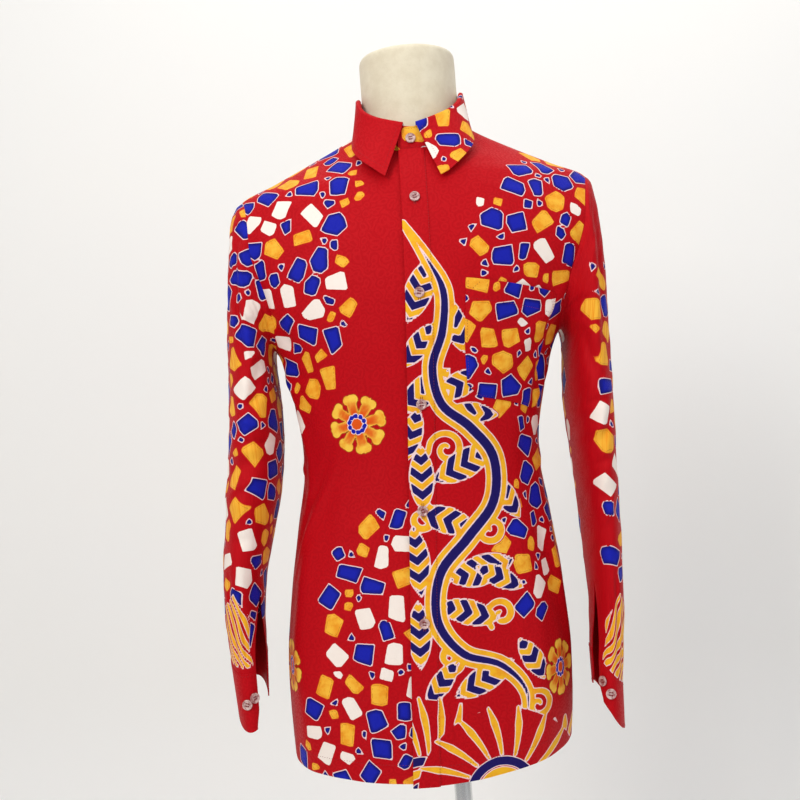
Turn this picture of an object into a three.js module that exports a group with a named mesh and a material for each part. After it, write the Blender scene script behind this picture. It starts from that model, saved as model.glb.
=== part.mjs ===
// A long-sleeved printed shirt, buttoned up on a dress form that stands on a pole and a round base.
// Millimetres, +Z up. The front faces -Y and +X is the wearer's left.
// The origin is the middle of the base's underside.

import * as THREE from "three";

const quarterTurn = Math.PI / 2;

// ---- Driving sizes ----
const cloth = 1.4; // wall of the body and sleeves
const firmCloth = 1.8; // wall of the stand, collar and cuffs, which are interlined
const seamGap = 0.4; // between the pieces at a seam
const sideSeamGap = 0.7; // wider, because the wall's edges lean towards each other there
const buttonRadius = 5.8;
const buttonThickness = 2.6;
const placketHalf = 15; // half the width of the button band
const frontLift = cloth + 1.3; // the left front lies on the right front
const hemFrontZ = 628;
const hemBackZ = 626;
const hemSideZ = 642;
const overlapDrop = 3; // the left front hangs this much lower at the button band
const frontNeckZ = 1331;
const backNeckZ = 1386;
const underarmZ = 1112;
const shoulderTipZ = 1299;
const neckPointZ = 1372; // where the shoulder seam meets the collar
const armholeHalfDepth = 64;
const quarterGirth = 225; // turns a share of a quarter girth into millimetres

// Rings of the worn body: half width, depths from the middle, how far the corners are pulled in
// (less than 0 pushes them out), where the middle hangs and where the button line lies.
const bodyRings = [
  { z: 600, half: 161, front: 111, back: 108, pinch: -0.03, drift: -33, cf: -44 },
  { z: 675, half: 167, front: 114, back: 113, pinch: -0.045, drift: -29.5, cf: -39 },
  { z: 760, half: 168, front: 114, back: 114, pinch: -0.05, drift: -27, cf: -34.3 },
  { z: 837, half: 161, front: 110, back: 107, pinch: -0.045, drift: -24, cf: -29.3 },
  { z: 910, half: 150, front: 105, back: 97, pinch: -0.04, drift: -21.5, cf: -24.6 },
  { z: 975, half: 140.5, front: 103, back: 90, pinch: -0.035, drift: -19, cf: -20.4 },
  { z: 1035, half: 146, front: 108, back: 93, pinch: -0.03, drift: -16.5, cf: -16.7 },
  { z: 1110, half: 165, front: 115, back: 101, pinch: -0.02, drift: -13, cf: -12.2 },
  { z: 1166, half: 200, front: 116, back: 105, pinch: 0, drift: -10, cf: -9.2 },
  { z: 1222, half: 234, front: 108, back: 104, pinch: 0, drift: -6.5, cf: -7 },
  { z: 1264, half: 231, front: 97, back: 97, pinch: 0, drift: -4, cf: -5.6 },
  { z: 1299, half: 206, front: 85, back: 88, pinch: 0.02, drift: -3, cf: -4.8 },
  { z: 1315, half: 171, front: 78, back: 83, pinch: 0.06, drift: -2.5, cf: -4.4 },
  { z: 1340, half: 119, front: 67, back: 75, pinch: 0.1, drift: -2, cf: -4 },
  { z: 1361, half: 77, front: 63, back: 67, pinch: 0.06, drift: -1, cf: -3.8 },
  { z: 1372, half: 63, front: 61, back: 62.5, pinch: 0, drift: 0, cf: -3.6 },
  { z: 1390, half: 60.5, front: 60, back: 60, pinch: 0, drift: 0, cf: -3.5 },
];

// Rows run from a panel's centre line to its side: the side seam, then the armhole, then the shoulder seam.
const armholeStart = 0.54;
const armholeEnd = 0.84;
const frontRise = [
  { v: 0, z: hemFrontZ },
  { v: 0.54, z: 1118 },
  { v: 0.69, z: 1215 },
  { v: 0.84, z: 1306 },
  { v: 1, z: frontNeckZ },
];
const backRise = [
  { v: 0, z: hemBackZ },
  { v: 0.54, z: 1116 },
  { v: 0.69, z: 1215 },
  { v: 0.84, z: 1318 },
  { v: 1, z: backNeckZ },
];

// Soft folds of the body, from one place to another. q is the share of a quarter girth from the
// centre line, less than 0 to the wearer's right. A height above 0 is a ridge.
const bodyFolds = [
  { face: -1, q0: 0.72, z0: 1180, q1: 0.42, z1: 1080, width: 12, height: 3.5 },
  { face: -1, q0: 0.8, z0: 1150, q1: 0.62, z1: 1000, width: 13, height: -4.5 },
  { face: -1, q0: -0.74, z0: 1170, q1: -0.5, z1: 1050, width: 14, height: -3.5 },
  { face: -1, q0: -0.84, z0: 1130, q1: -0.7, z1: 950, width: 13, height: 4.5 },
  { face: -1, q0: -0.66, z0: 930, q1: -0.6, z1: 640, width: 20, height: 6 },
  { face: -1, q0: -0.38, z0: 900, q1: -0.36, z1: 660, width: 18, height: -4 },
  { face: -1, q0: 0.62, z0: 960, q1: 0.7, z1: 740, width: 18, height: -4.5 },
  { face: -1, q0: 0.45, z0: 860, q1: 0.5, z1: 620, width: 18, height: 4.5 },
  { face: 1, q0: 0.7, z0: 1180, q1: 0.4, z1: 1060, width: 14, height: 4 },
  { face: 1, q0: -0.72, z0: 1175, q1: -0.45, z1: 1050, width: 14, height: 3.5 },
  { face: 1, q0: 0.3, z0: 1030, q1: 0.42, z1: 640, width: 22, height: 6.5 },
  { face: 1, q0: -0.26, z0: 1040, q1: -0.34, z1: 640, width: 22, height: 6 },
  { face: 1, q0: 0.02, z0: 1000, q1: 0.04, z1: 640, width: 20, height: -5 },
  { face: 1, q0: 0.66, z0: 950, q1: 0.72, z1: 660, width: 18, height: -4.5 },
  { face: 1, q0: -0.62, z0: 960, q1: -0.68, z1: 650, width: 18, height: -4.5 },
];

// Sleeve rings by the share of the way from the armhole to the cuff: the side next to the body,
// the outer side, the middle's place along Y, the half depth along Y, how far the front swings
// inwards while the back swings outwards, and how far the front tips down while the back tips up.
const leftSleeveRings = [
  { w: 0, inX: 152.6, inZ: 1112, outX: 203.4, outZ: 1299, y: 0, deep: 64, skew: 0, tilt: 0 },
  { w: 0.06, inX: 156, inZ: 1118, outX: 208.5, outZ: 1290, y: 0, deep: 66, skew: 0, tilt: 0 },
  { w: 0.12, inX: 159, inZ: 1117, outX: 212, outZ: 1271, y: 0, deep: 69, skew: 0, tilt: 0 },
  { w: 0.19, inX: 161, inZ: 1108, outX: 213, outZ: 1243, y: 0, deep: 73, skew: 0, tilt: 0 },
  { w: 0.27, inX: 161, inZ: 1090, outX: 213, outZ: 1208, y: 0, deep: 76, skew: 0, tilt: 0 },
  { w: 0.35, inX: 159, inZ: 1066, outX: 212.5, outZ: 1166, y: -1, deep: 78, skew: 0, tilt: 0 },
  { w: 0.43, inX: 157, inZ: 1038, outX: 212, outZ: 1120, y: -3, deep: 77, skew: 0, tilt: 0 },
  { w: 0.51, inX: 157.5, inZ: 1008, outX: 212, outZ: 1072, y: -6, deep: 76, skew: 0, tilt: 0 },
  { w: 0.59, inX: 159.6, inZ: 974, outX: 211, outZ: 1022, y: -9, deep: 74, skew: 0, tilt: 0 },
  { w: 0.67, inX: 161.8, inZ: 934, outX: 208.5, outZ: 970, y: -14, deep: 71, skew: 0, tilt: 0 },
  { w: 0.75, inX: 163, inZ: 888, outX: 206.5, outZ: 914, y: -19, deep: 68, skew: 0, tilt: 0 },
  { w: 0.83, inX: 164, inZ: 842, outX: 204, outZ: 852, y: -26, deep: 64, skew: 1, tilt: 0 },
  { w: 0.91, inX: 163.5, inZ: 795, outX: 200.5, outZ: 782, y: -33, deep: 59, skew: 2, tilt: 0 },
  { w: 1, inX: 159, inZ: 747, outX: 192, outZ: 704, y: -40, deep: 52, skew: 3, tilt: 0 },
];
const rightSleeveRings = [
  { w: 0, inX: 178.6, inZ: 1112, outX: 209.4, outZ: 1299, y: 0, deep: 64, skew: 0, tilt: 0 },
  { w: 0.06, inX: 182, inZ: 1118, outX: 218, outZ: 1291, y: 0, deep: 66, skew: 0, tilt: 0 },
  { w: 0.12, inX: 184, inZ: 1117, outX: 225, outZ: 1273, y: 0, deep: 69, skew: 0, tilt: 0 },
  { w: 0.19, inX: 185, inZ: 1108, outX: 228, outZ: 1246, y: 0, deep: 73, skew: 0, tilt: 0 },
  { w: 0.27, inX: 184, inZ: 1090, outX: 231, outZ: 1210, y: 0, deep: 76, skew: 0, tilt: 0 },
  { w: 0.35, inX: 182, inZ: 1066, outX: 234, outZ: 1170, y: -1, deep: 78, skew: 0, tilt: 0 },
  { w: 0.43, inX: 181, inZ: 1040, outX: 237, outZ: 1126, y: -3, deep: 77, skew: 0, tilt: 0 },
  { w: 0.51, inX: 181.5, inZ: 1012, outX: 240, outZ: 1080, y: -6, deep: 76, skew: 0, tilt: 0 },
  { w: 0.59, inX: 184, inZ: 982, outX: 243.5, outZ: 1034, y: -9, deep: 74, skew: 0, tilt: 0 },
  { w: 0.67, inX: 189.5, inZ: 946, outX: 247.5, outZ: 986, y: -14, deep: 71, skew: 0, tilt: 1 },
  { w: 0.75, inX: 199.5, inZ: 906, outX: 253, outZ: 934, y: -19, deep: 68, skew: 0, tilt: 3 },
  { w: 0.83, inX: 210.5, inZ: 862, outX: 259, outZ: 878, y: -26, deep: 64, skew: 0, tilt: 6 },
  { w: 0.91, inX: 215.5, inZ: 817, outX: 261, outZ: 823, y: -33, deep: 59, skew: 1, tilt: 9 },
  { w: 1, inX: 216.5, inZ: 768, outX: 257, outZ: 768, y: -40, deep: 52, skew: 2, tilt: 12 },
];

// Folds of a sleeve: turn is the angle round it in degrees, 0 next to the body, 90 in front, 180 outside.
const leftSleeveFolds = [
  { turn0: 130, w0: 0.08, turn1: 118, w1: 0.42, width: 13, height: -6 },
  { turn0: 152, w0: 0.1, turn1: 146, w1: 0.5, width: 12, height: 3 },
  { turn0: 60, w0: 0.3, turn1: 95, w1: 0.48, width: 12, height: -5 },
  { turn0: 70, w0: 0.62, turn1: 150, w1: 0.56, width: 11, height: -5 },
  { turn0: 60, w0: 0.7, turn1: 140, w1: 0.74, width: 11, height: -4.5 },
  { turn0: 225, w0: 0.15, turn1: 240, w1: 0.55, width: 14, height: -5 },
  { turn0: 215, w0: 0.66, turn1: 290, w1: 0.6, width: 12, height: 4 },
  { turn0: 100, w0: 0.84, turn1: 112, w1: 1, width: 9, height: -4.5 },
];
const rightSleeveFolds = [
  { turn0: 128, w0: 0.06, turn1: 100, w1: 0.4, width: 14, height: -7 },
  { turn0: 150, w0: 0.12, turn1: 138, w1: 0.46, width: 12, height: 3 },
  { turn0: 55, w0: 0.28, turn1: 85, w1: 0.5, width: 13, height: -6 },
  { turn0: 65, w0: 0.6, turn1: 140, w1: 0.66, width: 11, height: -5.5 },
  { turn0: 80, w0: 0.7, turn1: 160, w1: 0.72, width: 11, height: 4 },
  { turn0: 225, w0: 0.12, turn1: 235, w1: 0.5, width: 14, height: -5 },
  { turn0: 215, w0: 0.58, turn1: 295, w1: 0.66, width: 12, height: -4 },
  { turn0: 120, w0: 0.84, turn1: 108, w1: 1, width: 9, height: -4.5 },
];

// One sleeve each side: where its cuff ends, the seam above it and how far the unbuttoned slit
// stands open.
const sleeves = {
  left: {
    side: 1,
    rings: leftSleeveRings,
    folds: leftSleeveFolds,
    cuffEnd: { inX: 158, inZ: 707, outX: 189.5, outZ: 656, y: -46, deep: 50, skew: 4, tilt: 0 },
    cuffGap: 1.6,
    gapDegrees: 15,
  },
  right: {
    side: -1,
    rings: rightSleeveRings,
    folds: rightSleeveFolds,
    cuffEnd: { inX: 218, inZ: 716, outX: 252, outZ: 712, y: -46, deep: 49, skew: 3, tilt: 20 },
    cuffGap: 0.9,
    gapDegrees: 27,
  },
};
const slitTurn = 30; // degrees from the side next to the body, towards the front
const slitStart = 0.84;
const sleeveGap = 1.15; // the armhole's seam, which the shoulder meets at a slant

// The dress form, round its own upright middle.
const formRings = [
  { z: 702, half: 118, front: 92, back: 90 },
  { z: 712, half: 128, front: 99, back: 99 },
  { z: 770, half: 131, front: 101, back: 103 },
  { z: 850, half: 124, front: 97, back: 97 },
  { z: 930, half: 110, front: 92, back: 84 },
  { z: 975, half: 107, front: 91, back: 80 },
  { z: 1035, half: 116, front: 97, back: 83 },
  { z: 1110, half: 138, front: 104, back: 91 },
  { z: 1170, half: 150, front: 104, back: 94 },
  { z: 1222, half: 168, front: 98, back: 94 },
  { z: 1262, half: 188, front: 87, back: 88 },
  { z: 1284, half: 194, front: 80.5, back: 83.5 },
  { z: 1299, half: 192.5, front: 78.6, back: 81.6 },
  { z: 1315, half: 160.5, front: 72, back: 76.7 },
  { z: 1340, half: 112, front: 61.6, back: 69.2 },
  { z: 1361, half: 69, front: 58.4, back: 61 },
  { z: 1374, half: 57.6, front: 57.3, back: 57.6 },
];
const formShoulderPinch = 0.08; // pulls in the shoulders' corners above the shoulder tips
const neckRadius = 57.2;
const neckTopZ = 1460;
const neckEdge = 11;

const poleRadius = 10.5;
const socket = { radius: 19, height: 46 };
const base = { radius: 165, rim: 6, height: 11, bossRadius: 24, bossHeight: 30 };

// ---- Small helpers ----
const clamp = (x, low = 0, high = 1) => Math.min(high, Math.max(low, x));
const lerp = (a, b, t) => a + (b - a) * t;
const smooth = (t) => clamp(t) * clamp(t) * (3 - 2 * clamp(t));
const radians = (degrees) => (degrees * Math.PI) / 180;
const vec = (x, y, z) => new THREE.Vector3(x, y, z);

// A smooth curve through one column of a table, by its first column.
function at(table, x, key) {
  const by = Object.keys(table[0])[0];
  const last = table.length - 1;
  let i = 0;
  while (i < last - 1 && x > table[i + 1][by]) i += 1;
  const slope = (k) => {
    const a = table[Math.max(k - 1, 0)];
    const b = table[Math.min(k + 1, last)];
    return (b[key] - a[key]) / (b[by] - a[by]);
  };
  const from = table[i];
  const to = table[i + 1];
  const span = to[by] - from[by];
  const t = clamp((x - from[by]) / span);
  const [t2, t3] = [t * t, t * t * t];
  return (
    (2 * t3 - 3 * t2 + 1) * from[key] +
    (t3 - 2 * t2 + t) * span * slope(i) +
    (3 * t2 - 2 * t3) * to[key] +
    (t3 - t2) * span * slope(i + 1)
  );
}

// How far a list of folds lifts the place (x, y): a soft ridge along each line, fading at its ends.
function foldHeight(lines, x, y) {
  return lines.reduce((sum, { from, to, width, height }) => {
    const along = [to[0] - from[0], to[1] - from[1]];
    const length = Math.hypot(...along);
    const share = ((x - from[0]) * along[0] + (y - from[1]) * along[1]) / length ** 2;
    const near = clamp(share);
    const off = Math.hypot(x - from[0] - near * along[0], y - from[1] - near * along[1]);
    const fade = Math.sin(Math.PI * clamp(share, 0.04, 0.96)) ** 0.5;
    return sum + height * fade * Math.exp(-((off / width) ** 2));
  }, 0);
}

// A cloth wall: the grid is its outer surface, and the thickness goes towards the core.
// joined(j) says whether row j closes on itself, where its last point repeats its first.
function wall(rows, thickness, core, joined = () => false) {
  const points = [];
  const ids = rows.map((row, j) => {
    const line = [];
    row.forEach((p, i) => {
      const closes = joined(j) && i === row.length - 1;
      line.push(closes ? line[0] : points.push(p) - 1);
    });
    return line;
  });
  const faces = [];
  for (let j = 0; j + 1 < ids.length; j += 1) {
    for (let i = 0; i + 1 < ids[j].length; i += 1) {
      const [a, b, c, d] = [ids[j][i], ids[j][i + 1], ids[j + 1][i + 1], ids[j + 1][i]];
      const shortWay = points[a].distanceTo(points[c]) < points[b].distanceTo(points[d]);
      faces.push(...(shortWay ? [[a, b, c], [a, c, d]] : [[a, b, d], [b, c, d]]));
    }
  }
  const normals = points.map(() => vec(0, 0, 0));
  for (const [a, b, c] of faces) {
    const side = points[b].clone().sub(points[a]);
    const normal = side.cross(points[c].clone().sub(points[a]));
    [a, b, c].forEach((k) => normals[k].add(normal));
  }
  const outwards = points.reduce((sum, p, k) => sum + normals[k].dot(p.clone().sub(core(p))), 0);
  const turned = outwards < 0;
  const inner = points.map((p, k) =>
    p.clone().addScaledVector(normals[k].normalize(), turned ? thickness : -thickness),
  );
  const edges = new Map();
  const triangles = [];
  for (const [a, b, c] of faces) {
    const [p, q, r] = turned ? [a, c, b] : [a, b, c];
    triangles.push([p, q, r]);
    triangles.push([r, q, p].map((k) => k + points.length));
    for (const [from, to] of [[p, q], [q, r], [r, p]]) {
      if (!edges.delete(`${to},${from}`)) edges.set(`${from},${to}`, [from, to]);
    }
  }
  for (const [from, to] of edges.values()) {
    triangles.push([to, from, from + points.length]);
    triangles.push([to, from + points.length, to + points.length]);
  }
  return solid([...points, ...inner], triangles);
}

function solid(points, triangles) {
  const geometry = new THREE.BufferGeometry();
  geometry.setFromPoints(points);
  geometry.setIndex(triangles.flat());
  geometry.computeVertexNormals();
  return geometry;
}

// A closed loft through rings that run anticlockwise from above, lowest first.
function loft(rings) {
  const count = rings[0].length;
  const points = rings.flat();
  const middle = (ring) => ring.reduce((sum, p) => sum.add(p), vec(0, 0, 0)).divideScalar(count);
  const bottom = points.push(middle(rings[0])) - 1;
  const top = points.push(middle(rings[rings.length - 1])) - 1;
  const triangles = [];
  for (let i = 0; i < count; i += 1) {
    const next = (i + 1) % count;
    triangles.push([bottom, next, i]);
    triangles.push([top, (rings.length - 1) * count + i, (rings.length - 1) * count + next]);
    for (let j = 0; j + 1 < rings.length; j += 1) {
      const [low, high] = [j * count, (j + 1) * count];
      triangles.push([low + i, low + next, high + next]);
      triangles.push([low + i, high + next, high + i]);
    }
  }
  return solid(points, triangles);
}

// ---- The body's surface ----

// face is -1 in front and 1 at the back; q runs from -1 at the wearer's right side to 1 at the left.
function ringPoint(face, q, z) {
  const pull = 1 - at(bodyRings, z, "pinch") * Math.sin(q * Math.PI) ** 2;
  const depth = at(bodyRings, z, face < 0 ? "front" : "back");
  const x = at(bodyRings, z, "half") * Math.sin(q * quarterTurn) * pull;
  return vec(at(bodyRings, z, "drift") + x, face * depth * Math.cos(q * quarterTurn) * pull, z);
}

function ringNormal(face, q, z) {
  const step = 0.004;
  const across = ringPoint(face, q + step, z).sub(ringPoint(face, q - step, z));
  const up = ringPoint(face, q, z + 1).sub(ringPoint(face, q, z - 1));
  return across.cross(up).multiplyScalar(-face).normalize();
}

const bodyFoldLines = [-1, 1].map((face) =>
  bodyFolds
    .filter((fold) => fold.face === face)
    .map(({ q0, z0, q1, z1, width, height }) => ({
      from: [q0 * quarterGirth, z0],
      to: [q1 * quarterGirth, z1],
      width,
      height,
    })),
);

// The cloth with its folds, moved out by so much. Folds fade at the seams and at the button band.
function bodyPoint(face, q, z, out = 0) {
  const lines = bodyFoldLines[face < 0 ? 0 : 1];
  const fromBand = face < 0 ? smooth((Math.abs(q) * quarterGirth - placketHalf) / 45) : 1;
  const fromSide = smooth(((1 - Math.abs(q)) * quarterGirth) / 30);
  const fromNeck = smooth((frontNeckZ - 20 - z) / 60);
  const fold = foldHeight(lines, q * quarterGirth, z) * fromBand * fromSide * fromNeck;
  const p = ringPoint(face, q, z).addScaledVector(ringNormal(face, q, z), fold + out);
  p.y += (face * sideSeamGap) / 2;
  return p;
}

// q at a distance across from the button line.
function besideButtons(distance, z) {
  const offset = at(bodyRings, z, "cf") - at(bodyRings, z, "drift") + distance;
  return Math.asin(offset / at(bodyRings, z, "half")) / quarterTurn;
}

// q where the body's surface is so deep, found by halving.
function qAtDepth(face, depth, z) {
  let [low, high] = [0, 1];
  for (let i = 0; i < 40; i += 1) {
    const middle = (low + high) / 2;
    if (Math.abs(ringPoint(face, middle, z).y) > depth) low = middle;
    else high = middle;
  }
  return (low + high) / 2;
}

// The armhole's place at a turn, 0 at the underarm and a half turn at the shoulder tip.
function armholePlace(face, turn) {
  const z = lerp(underarmZ, shoulderTipZ, (1 - Math.cos(turn)) / 2);
  const ends = Math.sin(turn) < 1e-9;
  return { q: ends ? 1 : qAtDepth(face, armholeHalfDepth * Math.sin(turn) ** 0.85, z), z };
}

// Where row v ends at the side.
function sideEnd(face, v) {
  if (v <= armholeStart) return { q: 1, z: lerp(hemSideZ, underarmZ, v / armholeStart) };
  if (v >= armholeEnd) {
    return { q: 1, z: lerp(shoulderTipZ, neckPointZ, (v - armholeEnd) / (1 - armholeEnd)) };
  }
  return armholePlace(face, (Math.PI * (v - armholeStart)) / (armholeEnd - armholeStart));
}

// The rows of a panel: so many steps along the side seam, the armhole and the shoulder seam.
const rowSteps = { side: 13, armhole: 12, shoulder: 5 };
const rowShares = [
  ...Array.from({ length: rowSteps.side }, (_, k) => (k / rowSteps.side) * armholeStart),
  ...Array.from({ length: rowSteps.armhole }, (_, k) =>
    lerp(armholeStart, armholeEnd, k / rowSteps.armhole),
  ),
  ...Array.from({ length: rowSteps.shoulder + 1 }, (_, k) =>
    lerp(armholeEnd, 1, k / rowSteps.shoulder),
  ),
];

// ---- Panels of the body ----
const frontColumns = 11;
const backColumns = 10;
const bodyCore = (p) => vec(at(bodyRings, p.z, "drift"), 0, p.z);

// How far the left front stands off, fading away from the button band.
const liftAt = (q) => frontLift * (1 - smooth((Math.abs(q) - 0.14) / 0.45));

// The height of row v at the button band.
const bandHeight = (side, v) =>
  at(frontRise, v, "z") - (side > 0 ? overlapDrop * (1 - smooth(v / armholeStart)) : 0);

// side is 1 for the wearer's left front, which lies on top, and -1 for the right front.
function frontPoint(side, across, v) {
  const end = sideEnd(-1, v);
  const edgeZ = bandHeight(side, v);
  const edgeQ = side * besideButtons(-side * placketHalf, edgeZ);
  const z = lerp(edgeZ, end.z, smooth(across));
  const q = side * lerp(edgeQ, end.q, across);
  return bodyPoint(-1, q, z, side > 0 ? liftAt(q) : 0);
}

function frontPanel(side) {
  const rows = rowShares.map((v) =>
    Array.from({ length: frontColumns + 1 }, (_, i) => frontPoint(side, i / frontColumns, v)),
  );
  return wall(rows, cloth, bodyCore);
}

function backPoint(across, v) {
  const end = sideEnd(1, v);
  const share = Math.abs(across);
  const z = lerp(at(backRise, v, "z"), end.z, smooth(share));
  return bodyPoint(1, across * end.q, z);
}

function backPanel() {
  const rows = rowShares.map((v) =>
    Array.from({ length: 2 * backColumns + 1 }, (_, i) => backPoint(i / backColumns - 1, v)),
  );
  return wall(rows, cloth, bodyCore);
}

const bandThickness = 1.1;
const bandOut = bandThickness + 0.5; // the band's face stands this far off the left front's
const bandInset = 0.3; // the band ends this far inside the left front's edge

function buttonBand() {
  const rows = rowShares.map((v) => {
    const z = bandHeight(1, v);
    return [-1, -0.4, 0.4, 1].map((share) =>
      bodyPoint(-1, besideButtons(share * (placketHalf - bandInset), z), z, frontLift + bandOut),
    );
  });
  return wall(rows, bandThickness, bodyCore);
}

// ---- Chest pocket ----
// Inner edge and width as shares of a quarter girth, in millimetres, at the pocket's top and bottom:
// the body narrows below the chest and the pocket doesn't.
const pocket = {
  innerTop: 36,
  widthTop: 97,
  innerBottom: 50,
  widthBottom: 124,
  top: 1178,
  height: 131,
  drop: 20,
  corner: 14,
  gap: 1.1,
  sideGap: 2.2, // more at the lower outer corner, where the body turns away
  steps: 8,
};

// A place on the pocket: its share from the inner edge across, and how far down.
function pocketPoint(across, down) {
  const share = down / pocket.height;
  const cut = Math.max(0, down - (pocket.height - pocket.corner)) * (1 - 2 * across);
  const width = lerp(pocket.widthTop, pocket.widthBottom, share);
  const inner = lerp(pocket.innerTop, pocket.innerBottom, share);
  const q = (inner + width * across + cut) / quarterGirth;
  const out = liftAt(q) + cloth + pocket.gap + pocket.sideGap * across * share;
  return bodyPoint(-1, q, pocket.top - down - pocket.drop * across, out);
}

function pocketPanel() {
  const { steps, height } = pocket;
  const rows = Array.from({ length: steps + 1 }, (_, j) =>
    Array.from({ length: steps + 1 }, (_, i) => pocketPoint(i / steps, (height * j) / steps)),
  );
  return wall(rows, cloth, bodyCore);
}

// ---- Collar ----
const standRise = [
  { angle: 0, up: 26, lean: -3.5 },
  { angle: 25, up: 31, lean: -4 },
  { angle: 50, up: 35, lean: -4 },
  { angle: 90, up: 34.5, lean: -2.6 },
  { angle: 140, up: 36, lean: 0 },
  { angle: 180, up: 37, lean: 0.5 },
];
const neckSteps = { front: 11, back: 10 };

// The neckline from the right front's hidden edge, round the back, to the left front's edge.
function neckline() {
  const right = Array.from({ length: neckSteps.front + 1 }, (_, i) =>
    frontPoint(-1, i / neckSteps.front, 1),
  );
  const back = Array.from({ length: 2 * neckSteps.back - 1 }, (_, i) =>
    backPoint((i + 1) / neckSteps.back - 1, 1),
  );
  const left = Array.from({ length: neckSteps.front + 1 }, (_, i) =>
    frontPoint(1, 1 - i / neckSteps.front, 1),
  );
  return [...right, ...back, ...left];
}

// The angle from the front, 180 at the back, and the way out from the neck's middle.
const neckAngle = (p) => THREE.MathUtils.radToDeg(Math.abs(Math.atan2(p.x, -p.y)));
const neckOut = (p) => vec(p.x, p.y, 0).normalize();

function standPoint(p, share) {
  const angle = neckAngle(p);
  const up = seamGap + share * at(standRise, angle, "up");
  return p.clone().addScaledVector(neckOut(p), share * at(standRise, angle, "lean")).add(vec(0, 0, up));
}

function collarStand() {
  const line = neckline();
  const rows = [0, 0.5, 1].map((share) => line.map((p) => standPoint(p, share)));
  return wall(rows, firmCloth, (p) => vec(0, 0, p.z));
}

// The collar's free edge by the angle round the neck: how far out from the fold and how far down.
const collarEdge = [
  { angle: 0, out: 26, down: 63 },
  { angle: 10, out: 25, down: 59 },
  { angle: 20, out: 24, down: 52 },
  { angle: 33, out: 20, down: 46 },
  { angle: 45, out: 16, down: 43 },
  { angle: 60, out: 12, down: 41 },
  { angle: 90, out: 8.5, down: 34 },
  { angle: 120, out: 9, down: 35 },
  { angle: 180, out: 12, down: 44 },
];
const collarGap = 6.5; // from the button line to each end of the collar
const collarPoint = 22; // how far the collar's points stand aside of its ends
const collarSteps = 30;
// The fold over the stand: how far out from it and up, before the collar falls.
const collarFold = [
  { out: -1.5, up: 3.1 },
  { out: 1.2, up: 4.4 },
  { out: 4.2, up: 2.4 },
];

// A point of the stand's top edge at a share of the way round, by its length.
function alongLine(line, share) {
  const lengths = line.map((p, i) => (i ? p.distanceTo(line[i - 1]) : 0));
  const total = lengths.reduce((sum, length) => sum + length, 0);
  let rest = share * total;
  let i = 1;
  while (i < line.length - 1 && rest > lengths[i]) {
    rest -= lengths[i];
    i += 1;
  }
  return line[i - 1].clone().lerp(line[i], clamp(rest / lengths[i]));
}

const frontSide = (top) => Math.sign(top.x - at(bodyRings, frontNeckZ, "cf"));

// Near the front the collar's right half clears the left end of the stand, which laps under it.
const lapClearance = (top) =>
  frontSide(top) < 0 ? frontLift * (1 - smooth((neckAngle(top) - 20) / 25)) : 0;

function fallPoint(top, share) {
  const angle = neckAngle(top);
  const side = frontSide(top);
  const start = collarFold[collarFold.length - 1];
  const out = lerp(start.out, at(collarEdge, angle, "out"), share ** 1.5) + lapClearance(top);
  const up = lerp(start.up, -at(collarEdge, angle, "down"), share);
  const aside = side * collarPoint * share * (1 - smooth(angle / 75));
  return top.clone().addScaledVector(neckOut(top), out).add(vec(aside, 0, up));
}

function collarFall() {
  const topEdge = neckline().map((p) => standPoint(p, 1));
  const total = topEdge.reduce((sum, p, i) => sum + (i ? p.distanceTo(topEdge[i - 1]) : 0), 0);
  const from = (placketHalf + collarGap) / total;
  const rows = [];
  const line = Array.from({ length: collarSteps + 1 }, (_, i) =>
    alongLine(topEdge, lerp(from, 1 - from, i / collarSteps)),
  );
  for (const { out, up } of collarFold) {
    const clear = (p) => (out > 0 ? lapClearance(p) : 0);
    rows.push(
      line.map((p) => p.clone().addScaledVector(neckOut(p), out + clear(p)).add(vec(0, 0, up))),
    );
  }
  for (const share of [0.2, 0.45, 0.72, 1]) rows.push(line.map((p) => fallPoint(p, share)));
  return wall(rows, firmCloth, (p) => vec(0, 0, p.z - 12));
}

// ---- Sleeves and cuffs ----
const sleeveColumns = 2 * rowSteps.armhole;
const slitColumn = Math.round(slitTurn / (360 / sleeveColumns));
const sleeveShares = [
  0, 0.03, 0.07, 0.12, 0.17, 0.22, 0.28, 0.34, 0.4, 0.46, 0.52, 0.57, 0.62, 0.67, 0.72, 0.78, 0.84,
  0.88, 0.92, 0.96, 1,
];

// An oval between the inner and the outer side, at a turn from the inner side round by the front.
function ovalPoint(side, { inX, inZ, outX, outZ, y, deep, skew, tilt }, turn) {
  const share = (1 - Math.cos(turn)) / 2;
  const front = Math.sin(turn);
  const z = lerp(inZ, outZ, share) - tilt * front;
  return vec(side * (lerp(inX, outX, share) - skew * front), y - deep * front, z);
}

function ovalMiddle(side, ring) {
  return ovalPoint(side, ring, 0).lerp(ovalPoint(side, ring, Math.PI), 0.5);
}

function sleeveRing(sleeve, w) {
  const keys = ["inX", "inZ", "outX", "outZ", "y", "deep", "skew", "tilt"];
  return Object.fromEntries(keys.map((key) => [key, at(sleeve.rings, w, key)]));
}

function armholePoint(side, turn) {
  const face = Math.sin(turn) >= 0 ? -1 : 1;
  const { q, z } = armholePlace(face, turn > Math.PI ? 2 * Math.PI - turn : turn);
  const p = bodyPoint(face, side * q, z);
  p.x += side * sleeveGap;
  return p;
}

function sleeveFold(sleeve, turn, w) {
  const reach = 70; // millimetres for each radian round the sleeve
  const length = 640;
  const lines = sleeve.folds.map(({ turn0, w0, turn1, w1, width, height }) => ({
    from: [radians(turn0) * reach, w0 * length],
    to: [radians(turn1) * reach, w1 * length],
    width,
    height,
  }));
  const fade = smooth(w / 0.08) * smooth((1 - w) / 0.07);
  return foldHeight(lines, turn * reach, w * length) * fade;
}

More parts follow.
